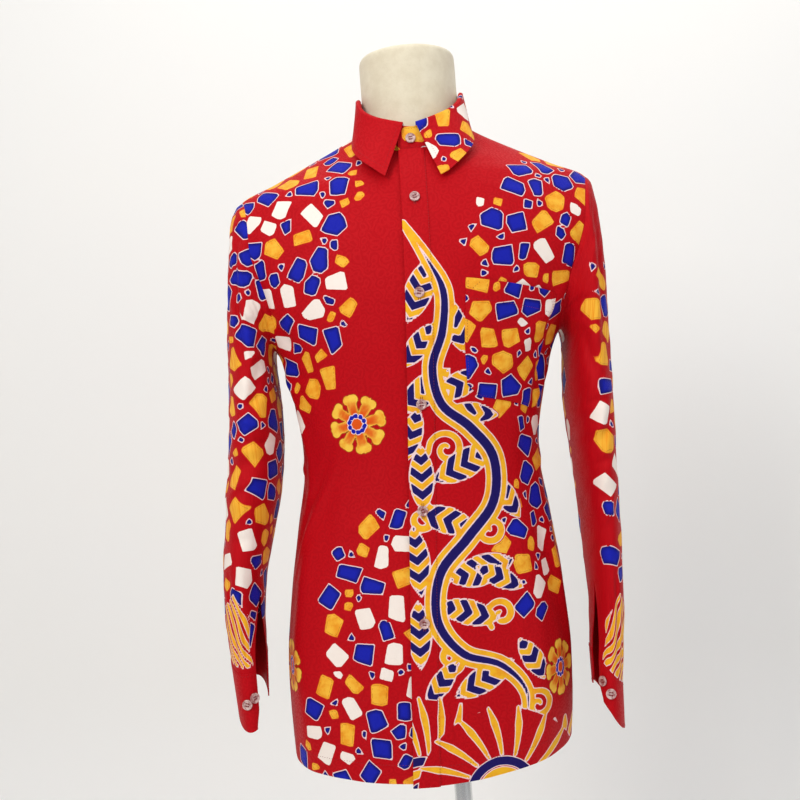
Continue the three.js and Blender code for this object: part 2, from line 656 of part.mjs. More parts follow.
// How far the slit's edges stand aside, in radians round the sleeve.
const slitOpening = (sleeve, w) =>
  radians(sleeve.gapDegrees) * smooth((w - slitStart) / (1 - slitStart));

function sleevePoint(sleeve, column, w) {
  const gap = slitOpening(sleeve, w);
  const share = column / sleeveColumns;
  const turn = radians(slitTurn) + gap + (2 * Math.PI - 2 * gap) * share;
  const wrapped = turn % (2 * Math.PI);
  const ring = sleeveRing(sleeve, w);
  const p = ovalPoint(sleeve.side, ring, wrapped);
  const settled = smooth(w / 0.3);
  if (settled < 1) {
    const first = ovalPoint(sleeve.side, sleeve.rings[0], wrapped);
    p.addScaledVector(armholePoint(sleeve.side, wrapped).sub(first), 1 - settled);
  }
  const out = p.clone().sub(ovalMiddle(sleeve.side, ring)).normalize();
  return p.addScaledVector(out, sleeveFold(sleeve, wrapped, w));
}

function sleevePanel(sleeve) {
  const rows = sleeveShares.map((w) =>
    Array.from({ length: sleeveColumns + 1 }, (_, i) => sleevePoint(sleeve, i, w)),
  );
  const middles = sleeveShares.map((w) => ovalMiddle(sleeve.side, sleeveRing(sleeve, w)));
  const core = (p) =>
    middles.reduce((best, m) => (m.distanceTo(p) < best.distanceTo(p) ? m : best), middles[0]);
  return wall(rows, cloth, core, (j) => sleeveShares[j] <= slitStart + 1e-9);
}

// The cuff goes on from the sleeve's end, a little outside it, as an open band with cut corners.
function cuffPoint(sleeve, share, down) {
  const gap = radians(sleeve.gapDegrees);
  const turn = radians(slitTurn) + gap + (2 * Math.PI - 2 * gap) * share;
  const start = sleeve.rings[sleeve.rings.length - 1];
  const ring = Object.fromEntries(
    Object.entries(sleeve.cuffEnd).map(([key, end]) => [key, lerp(start[key], end, down)]),
  );
  const p = ovalPoint(sleeve.side, ring, turn % (2 * Math.PI));
  const outwards = p.clone().sub(ovalMiddle(sleeve.side, ring)).setZ(0).normalize();
  return p.addScaledVector(outwards, cuffOut);
}

const cuffOut = 0.4; // how far the cuff stands outside the sleeve's end
const cuffHeight = 50;
const cuffColumns = 24;
const cuffCorner = 0.035; // share of the cuff's length that its lower corners are cut back by

function cuffBand(sleeve) {
  const start = sleeve.cuffGap / cuffHeight;
  const rows = [start, 0.35, 0.7, 0.88, 1].map((down) => {
    const inset = cuffCorner * smooth((down - 0.65) / 0.35);
    return Array.from({ length: cuffColumns + 1 }, (_, i) =>
      cuffPoint(sleeve, lerp(inset, 1 - inset, i / cuffColumns), down),
    );
  });
  const middle = ovalMiddle(sleeve.side, sleeve.cuffEnd);
  return wall(rows, firmCloth, (p) => vec(middle.x, middle.y, p.z));
}

// ---- Buttons ----
const buttonProfile = [
  [0, 0],
  [0.8, 0],
  [1, 0.35],
  [1, 0.75],
  [0.86, 1],
  [0.62, 0.72],
  [0, 0.66],
];
const buttonStandOff = 0.5;

function buttonGeometry() {
  const profile = buttonProfile.map(
    ([r, h]) => new THREE.Vector2(r * buttonRadius, h * buttonThickness),
  );
  return new THREE.LatheGeometry(profile, 14);
}

// Seats a button on a surface given by how far across and up from the button's middle a point lies.
function placeButton(mesh, pointAt, core) {
  const reach = buttonRadius * 0.8;
  const seat = pointAt(0, 0);
  const across = pointAt(reach, 0).sub(pointAt(-reach, 0));
  const up = pointAt(0, reach).sub(pointAt(0, -reach));
  const normal = across.cross(up).normalize();
  if (normal.dot(seat.clone().sub(core)) < 0) normal.negate();
  mesh.position.copy(seat).addScaledVector(normal, buttonStandOff);
  mesh.quaternion.setFromUnitVectors(vec(0, 1, 0), normal);
}

const frontButtonHeights = [1272, 1165, 1044, 926, 804];

function frontButtonSeat(height) {
  return (across, up) =>
    bodyPoint(-1, besideButtons(across, height + up), height + up, frontLift + bandOut);
}

const collarButtonShare = 0.46;

function collarButtonSeat(across, up) {
  const line = neckline();
  const total = line.reduce((sum, p, i) => sum + (i ? p.distanceTo(line[i - 1]) : 0), 0);
  const along = alongLine(line, 1 - (placketHalf + across) / total);
  return standPoint(along, collarButtonShare + up / standRise[0].up);
}

// Two buttons near the front end of each cuff, by the share of the cuff's length and the way down it.
const cuffButtons = [
  { share: 0.045, down: 0.42 },
  { share: 0.12, down: 0.5 },
];
const cuffLength = 215;

function cuffButtonSeat(sleeve, { share, down }) {
  return (across, up) => cuffPoint(sleeve, share + across / cuffLength, down - up / cuffHeight);
}

// ---- The form and its stand ----
const formColumns = 32;

function formRing(z) {
  const pinch = formShoulderPinch * smooth((z - 1290) / 35) * smooth((1374 - z) / 30);
  return Array.from({ length: formColumns }, (_, i) => {
    const turn = (2 * Math.PI * i) / formColumns;
    const pull = 1 - pinch * Math.sin(2 * turn) ** 2;
    const depth = at(formRings, z, Math.sin(turn) < 0 ? "front" : "back");
    const half = at(formRings, z, "half");
    return vec(half * Math.cos(turn) * pull, depth * Math.sin(turn) * pull, z);
  });
}

function formBody() {
  const heights = [
    702, 706, 712, 735, 770, 810, 850, 890, 930, 975, 1010, 1050, 1090, 1130, 1170, 1200, 1225, 1245,
    1262, 1276, 1286, 1292, 1299, 1307, 1315, 1327, 1340, 1352, 1363, 1374,
  ];
  const rings = heights.map(formRing);
  const neck = (radius, z) =>
    Array.from({ length: formColumns }, (_, i) => {
      const turn = (2 * Math.PI * i) / formColumns;
      return vec(radius * Math.cos(turn), radius * Math.sin(turn), z);
    });
  rings.push(neck(neckRadius, 1420), neck(neckRadius - 1, neckTopZ - neckEdge));
  for (const turn of [30, 55, 80]) {
    const inwards = neckEdge * (1 - Math.cos(radians(turn)));
    rings.push(neck(neckRadius - 1 - inwards, neckTopZ - neckEdge * (1 - Math.sin(radians(turn)))));
  }
  return loft(rings);
}

// A turned piece round the upright middle, from [radius, height] pairs that start and end on it.
function turned(profile, segments) {
  const geometry = new THREE.LatheGeometry(
    profile.map(([r, z]) => new THREE.Vector2(r, z)),
    segments,
  );
  return geometry.rotateX(quarterTurn);
}

const formBottomZ = formRings[0].z;
const boss = base.height + base.bossHeight;

function baseProfile() {
  const bore = poleRadius + 0.3;
  return [
    [0, 0],
    [base.radius - 2, 0],
    [base.radius, 2],
    [base.radius, base.rim],
    [base.radius - 8, base.rim + 3],
    [base.bossRadius + 4, base.height],
    [base.bossRadius, base.height + 4],
    [base.bossRadius - 3, boss],
    [bore, boss],
    [bore, base.height],
    [0, base.height],
  ];
}

function socketProfile() {
  const bore = poleRadius + 0.3;
  const top = formBottomZ - 0.3;
  return [
    [bore, top - socket.height],
    [socket.radius - 2, top - socket.height],
    [socket.radius, top - socket.height + 3],
    [socket.radius, top - 8],
    [socket.radius + 18, top - 5],
    [socket.radius + 18, top],
    [bore, top],
    [bore, top - socket.height],
  ];
}

// ---- Materials and assembly ----
const paint = (color, roughness, metalness = 0) =>
  new THREE.MeshStandardMaterial({ color, roughness, metalness });
const printedCloth = paint(0xb4101c, 0.72);
const pearl = paint(0xd8cfc6, 0.28);
const linen = paint(0xe2d6bb, 0.9);
const steel = paint(0xc2c2c0, 0.25, 1);

function addPiece(group, name, geometry, material) {
  const mesh = new THREE.Mesh(geometry, material);
  mesh.name = name;
  group.add(mesh);
  return mesh;
}

function shirt() {
  const group = new THREE.Group();
  addPiece(group, "front_left", frontPanel(1), printedCloth);
  addPiece(group, "front_right", frontPanel(-1), printedCloth);
  addPiece(group, "back", backPanel(), printedCloth);
  addPiece(group, "button_band", buttonBand(), printedCloth);
  addPiece(group, "chest_pocket", pocketPanel(), printedCloth);
  addPiece(group, "collar_stand", collarStand(), printedCloth);
  addPiece(group, "collar", collarFall(), printedCloth);
  for (const [name, sleeve] of Object.entries(sleeves)) {
    addPiece(group, `sleeve_${name}`, sleevePanel(sleeve), printedCloth);
    addPiece(group, `cuff_${name}`, cuffBand(sleeve), printedCloth);
  }
  return group;
}

function buttons() {
  const group = new THREE.Group();
  frontButtonHeights.forEach((z, i) => {
    const mesh = addPiece(group, `button_front_${i + 1}`, buttonGeometry(), pearl);
    placeButton(mesh, frontButtonSeat(z), vec(0, 0, z));
  });
  const collarButton = addPiece(group, "button_collar", buttonGeometry(), pearl);
  placeButton(collarButton, collarButtonSeat, vec(0, 0, frontNeckZ));
  for (const [name, sleeve] of Object.entries(sleeves)) {
    cuffButtons.forEach((place, i) => {
      const mesh = addPiece(group, `button_cuff_${name}_${i + 1}`, buttonGeometry(), pearl);
      placeButton(mesh, cuffButtonSeat(sleeve, place), ovalMiddle(sleeve.side, sleeve.cuffEnd));
    });
  }
  return group;
}

function stand() {
  const group = new THREE.Group();
  const poleBottom = base.height + 0.3;
  const poleTop = formBottomZ - 0.3;
  const pole = [
    [0, poleBottom],
    [poleRadius, poleBottom],
    [poleRadius, poleTop],
    [0, poleTop],
  ];
  addPiece(group, "form", formBody(), linen);
  addPiece(group, "form_socket", turned(socketProfile(), 24), steel);
  addPiece(group, "pole", turned(pole, 24), steel);
  addPiece(group, "base", turned(baseProfile(), 48), steel);
  return group;
}

const part = new THREE.Group();
part.add(stand(), shirt(), buttons());

export default part;
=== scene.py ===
# A printed long-sleeved shirt on a linen dress form. Lengths in the settings are millimetres unless a
# note says otherwise; the finished meshes are in metres.
import math

import bmesh
import bpy
import numpy as np
from mathutils import Matrix, Vector


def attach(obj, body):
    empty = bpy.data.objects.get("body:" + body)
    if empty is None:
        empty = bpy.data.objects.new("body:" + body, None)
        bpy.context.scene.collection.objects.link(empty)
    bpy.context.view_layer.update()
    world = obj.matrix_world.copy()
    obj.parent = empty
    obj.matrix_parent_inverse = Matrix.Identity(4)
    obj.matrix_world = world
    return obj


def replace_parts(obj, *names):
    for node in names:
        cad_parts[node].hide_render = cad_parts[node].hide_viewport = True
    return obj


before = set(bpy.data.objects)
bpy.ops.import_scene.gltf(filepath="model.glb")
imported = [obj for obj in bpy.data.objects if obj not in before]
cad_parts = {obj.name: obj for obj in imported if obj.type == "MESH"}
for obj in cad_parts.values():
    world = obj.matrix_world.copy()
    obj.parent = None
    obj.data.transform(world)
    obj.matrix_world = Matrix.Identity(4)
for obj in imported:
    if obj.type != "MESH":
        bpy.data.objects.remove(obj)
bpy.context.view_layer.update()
bpy.ops.object.select_all(action="DESELECT")
print("frame loaded:", len(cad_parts), "nodes")

scene = bpy.context.scene
mm = 0.001
quarterTurn = math.pi / 2

# Camera, backdrop and lights
viewSettings = {"place": (-0.0392, -1.300, 1.050), "roll": -4.48, "lens": 48.735, "look": "Standard"}
stageSettings = {"halfWidth": 3.2, "nearY": -3.4, "wallY": 0.95, "wallTop": 3.6, "cornerRadius": 0.5}
lightSettings = {
    "key": {"place": (-1.5, -2.3, 2.3), "size": 1.0, "watts": 37, "color": (1.0, 0.97, 0.92)},
    "fill": {"place": (2.1, -2.2, 1.5), "size": 1.8, "watts": 9, "color": (0.93, 0.96, 1.0)},
    "wall": {
        "place": (0.45, -0.15, 2.7), "aim": (0.6, 0.95, 0.55),
        "size": 2.4, "watts": 25, "color": (1.0, 0.99, 0.96),
    },
}


def makeCamera(settings):
    camera = bpy.data.objects.new("camera", bpy.data.cameras.new("camera"))
    scene.collection.objects.link(camera)
    turn = Matrix.Rotation(quarterTurn, 4, "X") @ Matrix.Rotation(math.radians(settings["roll"]), 4, "Z")
    camera.matrix_world = Matrix.Translation(settings["place"]) @ turn
    camera.data.lens = settings["lens"]
    scene.camera = camera
    scene.view_settings.view_transform = settings["look"]


def makeLight(name, settings):
    light = bpy.data.lights.new(name, "AREA")
    light.size = settings["size"]
    light.energy = settings["watts"]
    light.color = settings["color"]
    lamp = bpy.data.objects.new(name, light)
    scene.collection.objects.link(lamp)
    lamp.location = settings["place"]
    aim = Vector(settings.get("aim", (0, 0, 1.05))) - Vector(settings["place"])
    lamp.rotation_euler = aim.to_track_quat("-Z", "Y").to_euler()


def makeWorld():
    world = bpy.data.worlds.new("studio")
    scene.world = world
    world.use_nodes = True
    world.node_tree.nodes["Background"].inputs["Color"].default_value = (0.95, 0.96, 1.0, 1)
    world.node_tree.nodes["Background"].inputs["Strength"].default_value = 0.4


makeCamera(viewSettings)
makeWorld()
for lightName, lightValues in lightSettings.items():
    makeLight(lightName, lightValues)
print("camera and lights set")


# Node helpers
def newGroup(name, inputs, outputs):
    group = bpy.data.node_groups.new(name, "ShaderNodeTree")
    for socketName, socketType, value in inputs:
        made = group.interface.new_socket(name=socketName, in_out="INPUT", socket_type=socketType)
        if value is not None:
            made.default_value = value
    for socketName, socketType in outputs:
        group.interface.new_socket(name=socketName, in_out="OUTPUT", socket_type=socketType)
    return group, group.nodes.new("NodeGroupInput"), group.nodes.new("NodeGroupOutput")


def feed(tree, socket, value):
    if isinstance(value, bpy.types.NodeSocket):
        tree.links.new(value, socket)
    elif isinstance(value, (tuple, list)) and len(value) == 3 and socket.type == "RGBA":
        socket.default_value = (*value, 1)
    else:
        socket.default_value = value


def calc(tree, operation, *values):
    node = tree.nodes.new("ShaderNodeMath")
    node.operation = operation
    for socket, value in zip(node.inputs, values):
        feed(tree, socket, value)
    return node.outputs[0]


def step(tree, value, low, high):  # 0 at low, 1 at high, smooth between
    node = tree.nodes.new("ShaderNodeMapRange")
    node.interpolation_type = "SMOOTHSTEP"
    for name, number in (("Value", value), ("From Min", low), ("From Max", high)):
        feed(tree, node.inputs[name], number)
    return node.outputs["Result"]


def blendColors(tree, share, first, second, mode="MIX"):
    node = tree.nodes.new("ShaderNodeMix")
    node.data_type = "RGBA"
    node.blend_type = mode
    feed(tree, node.inputs[0], share)
    feed(tree, node.inputs[6], first)
    feed(tree, node.inputs[7], second)
    return node.outputs[2]


def noise(tree, vector, scale, detail=2.0, roughness=0.5):
    node = tree.nodes.new("ShaderNodeTexNoise")
    feed(tree, node.inputs["Vector"], vector)
    node.inputs["Scale"].default_value = scale
    node.inputs["Detail"].default_value = detail
    node.inputs["Roughness"].default_value = roughness
    return node.outputs["Fac"]


def attribute(tree, name):
    node = tree.nodes.new("ShaderNodeAttribute")
    node.attribute_name = name
    return node.outputs["Fac"]


def placeGroup(tree, group, **values):
    node = tree.nodes.new("ShaderNodeGroup")
    node.node_tree = group
    for name, value in values.items():
        feed(tree, node.inputs[name], value)
    return node


def newMaterial(name):
    material = bpy.data.materials.new(name)
    material.use_nodes = True
    return material, material.node_tree, material.node_tree.nodes["Principled BSDF"]


def setInputs(surface, values):
    for name, value in values.items():
        surface.inputs[name].default_value = value


def objectPlace(tree):
    return tree.nodes.new("ShaderNodeTexCoord").outputs["Object"]


def bump(tree, height, strength, distance):
    node = tree.nodes.new("ShaderNodeBump")
    node.inputs["Strength"].default_value = strength
    node.inputs["Distance"].default_value = distance
    tree.links.new(height, node.inputs["Height"])
    return node.outputs["Normal"]


# Shared surface effects
def makeWeave():
    # Crossing threads as a height from 0 to 1; Vector in metres, Thread the spacing in millimetres.
    inputs = [("Vector", "NodeSocketVector", None), ("Thread", "NodeSocketFloat", 0.5)]
    inputs += [("Slub", "NodeSocketFloat", 0.3)]
    group, start, end = newGroup("threadWeave", inputs, [("Height", "NodeSocketFloat")])
    split = group.nodes.new("ShaderNodeSeparateXYZ")
    feed(group, split.inputs[0], start.outputs["Vector"])
    turns = calc(group, "DIVIDE", 1000 * math.pi, start.outputs["Thread"])
    wobble = calc(group, "MULTIPLY", noise(group, start.outputs["Vector"], 160, 3), 3.0)
    rows = [calc(group, "MULTIPLY_ADD", split.outputs[k], turns, wobble) for k in (0, 1)]
    across, along = (calc(group, "ABSOLUTE", calc(group, "SINE", row)) for row in rows)
    threads = calc(group, "MULTIPLY", calc(group, "ADD", across, along), 0.5)
    slubs = calc(group, "MULTIPLY", noise(group, start.outputs["Vector"], 420, 2), start.outputs["Slub"])
    feed(group, end.inputs["Height"], calc(group, "ADD", threads, slubs))
    return group


def makeFigure():
    # The woven figure of the cotton: small rings in wavering rows, tone on tone.
    inputs = [("Vector", "NodeSocketVector", None), ("Cell", "NodeSocketFloat", 10.0)]
    group, start, end = newGroup("wovenFigure", inputs, [("Mask", "NodeSocketFloat")])
    bend = group.nodes.new("ShaderNodeTexNoise")
    feed(group, bend.inputs["Vector"], start.outputs["Vector"])
    bend.inputs["Scale"].default_value = 55
    bend.inputs["Detail"].default_value = 1
    shift = group.nodes.new("ShaderNodeVectorMath")
    shift.operation = "MULTIPLY_ADD"
    feed(group, shift.inputs[0], bend.outputs["Color"])
    shift.inputs[1].default_value = (0.012, 0.012, 0.0)
    feed(group, shift.inputs[2], start.outputs["Vector"])
    cells = group.nodes.new("ShaderNodeTexVoronoi")
    cells.voronoi_dimensions = "2D"
    feed(group, cells.inputs["Vector"], shift.outputs[0])
    feed(group, cells.inputs["Scale"], calc(group, "DIVIDE", 1000.0, start.outputs["Cell"]))
    cells.inputs["Randomness"].default_value = 0.95
    rings = calc(group, "SINE", calc(group, "MULTIPLY", cells.outputs["Distance"], 15.0))
    feed(group, end.inputs["Mask"], step(group, rings, -0.35, 0.45))
    return group


weaveGroup = makeWeave()
figureGroup = makeFigure()

printSettings = {
    "ground": (0.53, 0.0006, 0.006),
    "groundDeep": (0.40, 0.0005, 0.005),
    "line": (0.93, 0.72, 0.74),
    "blue": (0.008, 0.014, 0.40),
    "blueEdge": (0.004, 0.004, 0.13),
    "yellow": (0.95, 0.50, 0.045),
    "yellowDeep": (0.86, 0.31, 0.015),
    "white": (0.95, 0.86, 0.79),
    "whiteDeep": (0.88, 0.66, 0.56),
    "petal": (0.97, 0.60, 0.07),
    "navy": (0.011, 0.006, 0.115),
    "gold": (0.91, 0.47, 0.02),
    "orange": (0.75, 0.09, 0.005),
    "brown": (0.36, 0.11, 0.01),
    "lineWidth": 0.95,
}
printFields = ("blue", "yellow", "white", "navy", "gold", "petal", "core")


def makePrint(settings):
    # Wax-drawn print. Each field is the distance in millimetres inside a drawn shape.
    inputs = [("Vector", "NodeSocketVector", None), ("Figure", "NodeSocketFloat", 0.5)]
    inputs += [(name.capitalize(), "NodeSocketFloat", -50.0) for name in printFields]
    group, start, end = newGroup("batikPrint", inputs, [("Color", "NodeSocketColor")])
    vector = start.outputs["Vector"]
    tremble = calc(group, "MULTIPLY_ADD", noise(group, vector, 190, 2), 0.7, -0.35)
    blotch = noise(group, vector, 75, 4, 0.6)
    cloud = noise(group, vector, 14, 3, 0.55)
    field = {name: calc(group, "ADD", start.outputs[name.capitalize()], tremble) for name in printFields}
    soft = 0.2

    def inside(name, depth=0.0):
        return step(group, field[name], depth - soft, depth + soft)

    deepShare = calc(group, "MULTIPLY_ADD", start.outputs["Figure"], 0.3, calc(group, "MULTIPLY", cloud, 0.4))
    color = blendColors(group, deepShare, settings["ground"], settings["groundDeep"])
    lined = calc(group, "MAXIMUM", field["blue"], calc(group, "MAXIMUM", field["navy"], field["gold"]))
    lineMask = step(group, lined, -settings["lineWidth"] - soft, -settings["lineWidth"] + soft)
    color = blendColors(group, calc(group, "MULTIPLY", lineMask, 0.92), color, settings["line"])
    # Blue pools darker along its edges.
    blueDepth = step(group, calc(group, "MULTIPLY_ADD", blotch, 2.6, field["blue"]), 0.6, 6.5)
    blueTone = blendColors(group, blueDepth, settings["blueEdge"], settings["blue"])
    color = blendColors(group, inside("blue"), color, blueTone)
    paled = calc(group, "MULTIPLY", blotch, 0.25)
    whiteTone = blendColors(group, paled, settings["white"], settings["whiteDeep"])
    color = blendColors(group, inside("white"), color, whiteTone)
    ripe = step(group, blotch, 0.38, 0.68)
    yellowTone = blendColors(group, ripe, settings["yellow"], settings["yellowDeep"])
    yellowRim = calc(group, "SUBTRACT", inside("yellow"), inside("yellow", 0.55))
    color = blendColors(group, inside("yellow"), color, yellowTone)
    color = blendColors(group, calc(group, "MULTIPLY", yellowRim, 0.55), color, settings["orange"])
    # A thin broken line follows each yellow tile just inside its edge.
    dashes = step(group, noise(group, vector, 330, 0), 0.42, 0.5)
    thread = calc(group, "SUBTRACT", inside("yellow", 1.55), inside("yellow", 2.0))
    threadShare = calc(group, "MULTIPLY", calc(group, "MULTIPLY", thread, dashes), 0.7)
    color = blendColors(group, threadShare, color, settings["brown"])
    color = blendColors(group, inside("navy"), color, settings["navy"])
    goldTone = blendColors(group, step(group, blotch, 0.42, 0.75), settings["gold"], settings["yellowDeep"])
    color = blendColors(group, inside("gold"), color, goldTone)
    petalRim = step(group, field["petal"], -0.9, -0.3)
    color = blendColors(group, petalRim, color, settings["brown"])
    petalTone = blendColors(group, step(group, blotch, 0.4, 0.8), settings["petal"], settings["yellowDeep"])
    color = blendColors(group, inside("petal"), color, petalTone)
    # Orange runs out from the middle along the petals and stops at the beads elsewhere.
    warm = calc(group, "MAXIMUM", inside("petal", 0.4), step(group, field["core"], 6.2, 7.0))
    warmEnd = step(group, calc(group, "MULTIPLY_ADD", blotch, 3.0, field["core"]), -3.5, 3.5)
    warm = calc(group, "MULTIPLY", warm, warmEnd)
    color = blendColors(group, warm, color, settings["orange"])
    # Beads and tiles share the blue; a bead is drawn over its petals.
    beadLine = step(group, field["blue"], -0.9, -0.5)
    overPetal = step(group, field["petal"], -2.0, -1.0)
    color = blendColors(group, calc(group, "MULTIPLY", beadLine, overPetal), color, settings["line"])
    color = blendColors(group, calc(group, "MULTIPLY", inside("blue"), overPetal), color, settings["blue"])
    feed(group, end.inputs["Color"], color)
    return group


printGroup = makePrint(printSettings)


cottonSettings = {
    "surface": {
        "Sheen Weight": 0.03,
        "Sheen Roughness": 0.45,
        "Sheen Tint": (1.0, 0.6, 0.6, 1),
        "Specular IOR Level": 0.1,
    },
    "rough": 0.5,
    "roughByFigure": 0.1,
    "roughByWear": 0.08,
    "wearScale": 22,
    "figureRelief": 0.75,
    "bump": (0.35, 0.00022),
}


def makeCottonMaterial(name, printed, settings):
    material, tree, surface = newMaterial(name)
    flat = tree.nodes.new("ShaderNodeUVMap")
    flat.uv_map = "flat"
    figure = placeGroup(tree, figureGroup, Vector=flat.outputs[0])
    weave = placeGroup(tree, weaveGroup, Vector=flat.outputs[0])
    values = {field.capitalize(): attribute(tree, field) for field in printFields} if printed else {}
    drawn = placeGroup(tree, printGroup, Vector=flat.outputs[0], Figure=figure.outputs["Mask"], **values)
    feed(tree, surface.inputs["Base Color"], drawn.outputs["Color"])
    mask = figure.outputs["Mask"]
    worn = noise(tree, flat.outputs[0], settings["wearScale"], 3)
    roughness = calc(tree, "MULTIPLY_ADD", mask, settings["roughByFigure"], settings["rough"])
    roughness = calc(tree, "MULTIPLY_ADD", worn, settings["roughByWear"], roughness)
    feed(tree, surface.inputs["Roughness"], roughness)
    setInputs(surface, settings["surface"])
    relief = calc(tree, "MULTIPLY_ADD", mask, settings["figureRelief"], weave.outputs["Height"])
    feed(tree, surface.inputs["Normal"], bump(tree, relief, *settings["bump"]))
    return material


printedCotton = makeCottonMaterial("printed_cotton", True, cottonSettings)
plainCotton = makeCottonMaterial("plain_cotton", False, cottonSettings)
print("cotton materials made")


# Tables and curves
def makeTable(names, rows):
    return dict(zip(names.split(), np.array(rows, float).T))


def at(table, x, key):  # a smooth curve through one column of a table, by its first column
    by, values = next(iter(table.values())), table[key]
    x = np.asarray(x, float)
    last = len(by) - 1
    i = np.clip(np.searchsorted(by, x, side="left") - 1, 0, last - 1)
    low, high = np.maximum(np.arange(last + 1) - 1, 0), np.minimum(np.arange(last + 1) + 1, last)
    slopes = (values[high] - values[low]) / (by[high] - by[low])
    span = by[i + 1] - by[i]
    t = np.clip((x - by[i]) / span, 0, 1)
    return (
        (2 * t**3 - 3 * t**2 + 1) * values[i]
        + (t**3 - 2 * t**2 + t) * span * slopes[i]
        + (3 * t**2 - 2 * t**3) * values[i + 1]
        + (t**3 - t**2) * span * slopes[i + 1]
    )


def smooth(t):
    t = np.clip(t, 0, 1)
    return t * t * (3 - 2 * t)


def mix(a, b, t):
    return a + (b - a) * t


def pointsOf(x, y, z):
    return np.stack(np.broadcast_arrays(x, y, z), axis=-1).astype(float)


def unit(vectors):
    return vectors / np.maximum(np.linalg.norm(vectors, axis=-1, keepdims=True), 1e-9)


def foldHeight(folds, x, y):  # each fold: from x, y to x, y, width, height
    total = np.zeros(np.broadcast(x, y).shape)
    for x0, y0, x1, y1, width, height in folds:
        ax, ay = x1 - x0, y1 - y0
        share = ((x - x0) * ax + (y - y0) * ay) / (ax * ax + ay * ay)
        near = np.clip(share, 0, 1)
        off = np.hypot(x - x0 - near * ax, y - y0 - near * ay)
        fade = np.sin(np.pi * np.clip(share, 0.04, 0.96)) ** 0.5
        total += height * fade * np.exp(-((off / width) ** 2))
    return total


def rumple(x, y, seed, lengths, height):  # low uneven waves, the same each run
    rng = np.random.default_rng(seed)
    total = np.zeros(np.broadcast(x, y).shape)
    for length in lengths:
        angle, phase = rng.uniform(0, math.pi), rng.uniform(0, 2 * math.pi)
        turn = 2 * math.pi / length
        warp = 0.6 * np.sin(x * turn * 0.37 + y * turn * 0.29 + phase)
        total += np.sin(turn * (x * math.cos(angle) + y * math.sin(angle)) + phase + warp)
    return height * total / len(lengths)


# The body's surface
body = {
    "seam": 0.12,
    "placketHalf": 15.0,
    "frontLift": 2.7,
    "hemSideZ": 642.0,
    "overlapDrop": 3.0,
    "frontNeckZ": 1331.0,
    "fineDepth": 1.4,
    "underarmZ": 1112.0,
    "shoulderTipZ": 1299.0,
    "neckPointZ": 1372.0,
    "armholeDepth": 64.0,
    "quarterGirth": 225.0,
    "armholeStart": 0.54,
    "armholeEnd": 0.84,
    "wall": 0.7,
}
bodyRings = makeTable(
    "z half front back pinch drift cf",
    [
        (600, 161, 111, 108, -0.03, -33, -44),
        (675, 167, 114, 113, -0.045, -29.5, -39),
        (760, 168, 114, 114, -0.05, -27, -34.3),
        (837, 161, 110, 107, -0.045, -24, -29.3),
        (910, 150, 105, 97, -0.04, -21.5, -24.6),
        (975, 140.5, 103, 90, -0.035, -19, -20.4),
        (1035, 146, 108, 93, -0.03, -16.5, -16.7),
        (1110, 165, 115, 101, -0.02, -13, -12.2),
        (1166, 200, 116, 105, 0, -10, -9.2),
        (1222, 234, 108, 104, 0, -6.5, -7),
        (1264, 231, 97, 97, 0, -4, -5.6),
        (1299, 206, 85, 88, 0.02, -3, -4.8),
        (1315, 171, 78, 83, 0.06, -2.5, -4.4),
        (1340, 119, 67, 75, 0.1, -2, -4),
        (1361, 77, 63, 67, 0.06, -1, -3.8),
        (1372, 63, 61, 62.5, 0, 0, -3.6),
        (1390, 60.5, 60, 60, 0, 0, -3.5),
    ],
)
frontRise = makeTable("v z", [(0, 628), (0.54, 1118), (0.69, 1215), (0.84, 1306), (1, 1331)])
backRise = makeTable("v z", [(0, 626), (0.54, 1116), (0.69, 1215), (0.84, 1318), (1, 1386)])

# Creases: share of a quarter girth and height where each starts and ends, width, height.
frontCreases = [
    (0.72, 1180, 0.42, 1080, 12, 3.5),
    (0.8, 1150, 0.62, 1000, 13, -4.5),
    (-0.74, 1170, -0.5, 1050, 14, -3.5),
    (-0.84, 1130, -0.7, 950, 13, 4.5),
    (-0.66, 930, -0.6, 640, 20, 6),
    (-0.38, 900, -0.36, 660, 18, -4),
    (0.62, 960, 0.7, 740, 18, -4.5),
    (0.45, 860, 0.5, 620, 18, 4.5),
    # finer ones, drawn one by one
    (-0.5, 1000, -0.86, 872, 8, -2.6),
    (-0.46, 985, -0.8, 850, 6, 1.6),
    (-0.9, 1120, -0.6, 1078, 6, -1.8),
    (-0.92, 1096, -0.7, 1062, 5, 1.6),
    (-0.9, 1075, -0.72, 1030, 6, -1.6),
    (-0.96, 1010, -0.74, 985, 6, -1.9),
    (-0.97, 985, -0.8, 968, 5, 1.5),
    (-0.95, 960, -0.78, 935, 6, -1.7),
    (-0.2, 1255, -0.45, 1205, 9, -1.2),
    (-0.28, 1300, -0.55, 1262, 7, 1.1),
    (-0.56, 1235, -0.7, 1150, 7, -1.9),
    (-0.62, 1228, -0.74, 1140, 5, 1.5),
    (-0.16, 1050, -0.42, 1030, 7, -0.9),
    (-0.15, 930, -0.4, 905, 7, 0.9),
    (-0.14, 806, -0.36, 780, 9, -1.0),
    (-0.2, 760, -0.28, 650, 9, 1.6),
    (0.2, 1290, 0.5, 1255, 7, 1.2),
    (0.58, 1236, 0.7, 1150, 6, -1.9),
    (0.93, 1105, 0.66, 1070, 6, -1.9),
    (0.94, 1085, 0.72, 1040, 5, 1.5),
    (0.95, 1010, 0.74, 990, 6, -1.8),
    (0.96, 985, 0.78, 955, 5, 1.5),
    (0.16, 1046, 0.36, 1030, 6, -0.8),
    (0.14, 925, 0.4, 890, 7, -0.9),
    (0.3, 900, 0.46, 700, 8, 1.6),
    (0.74, 900, 0.82, 700, 9, 2.2),
    (0.2, 790, 0.26, 640, 9, -1.5),
]
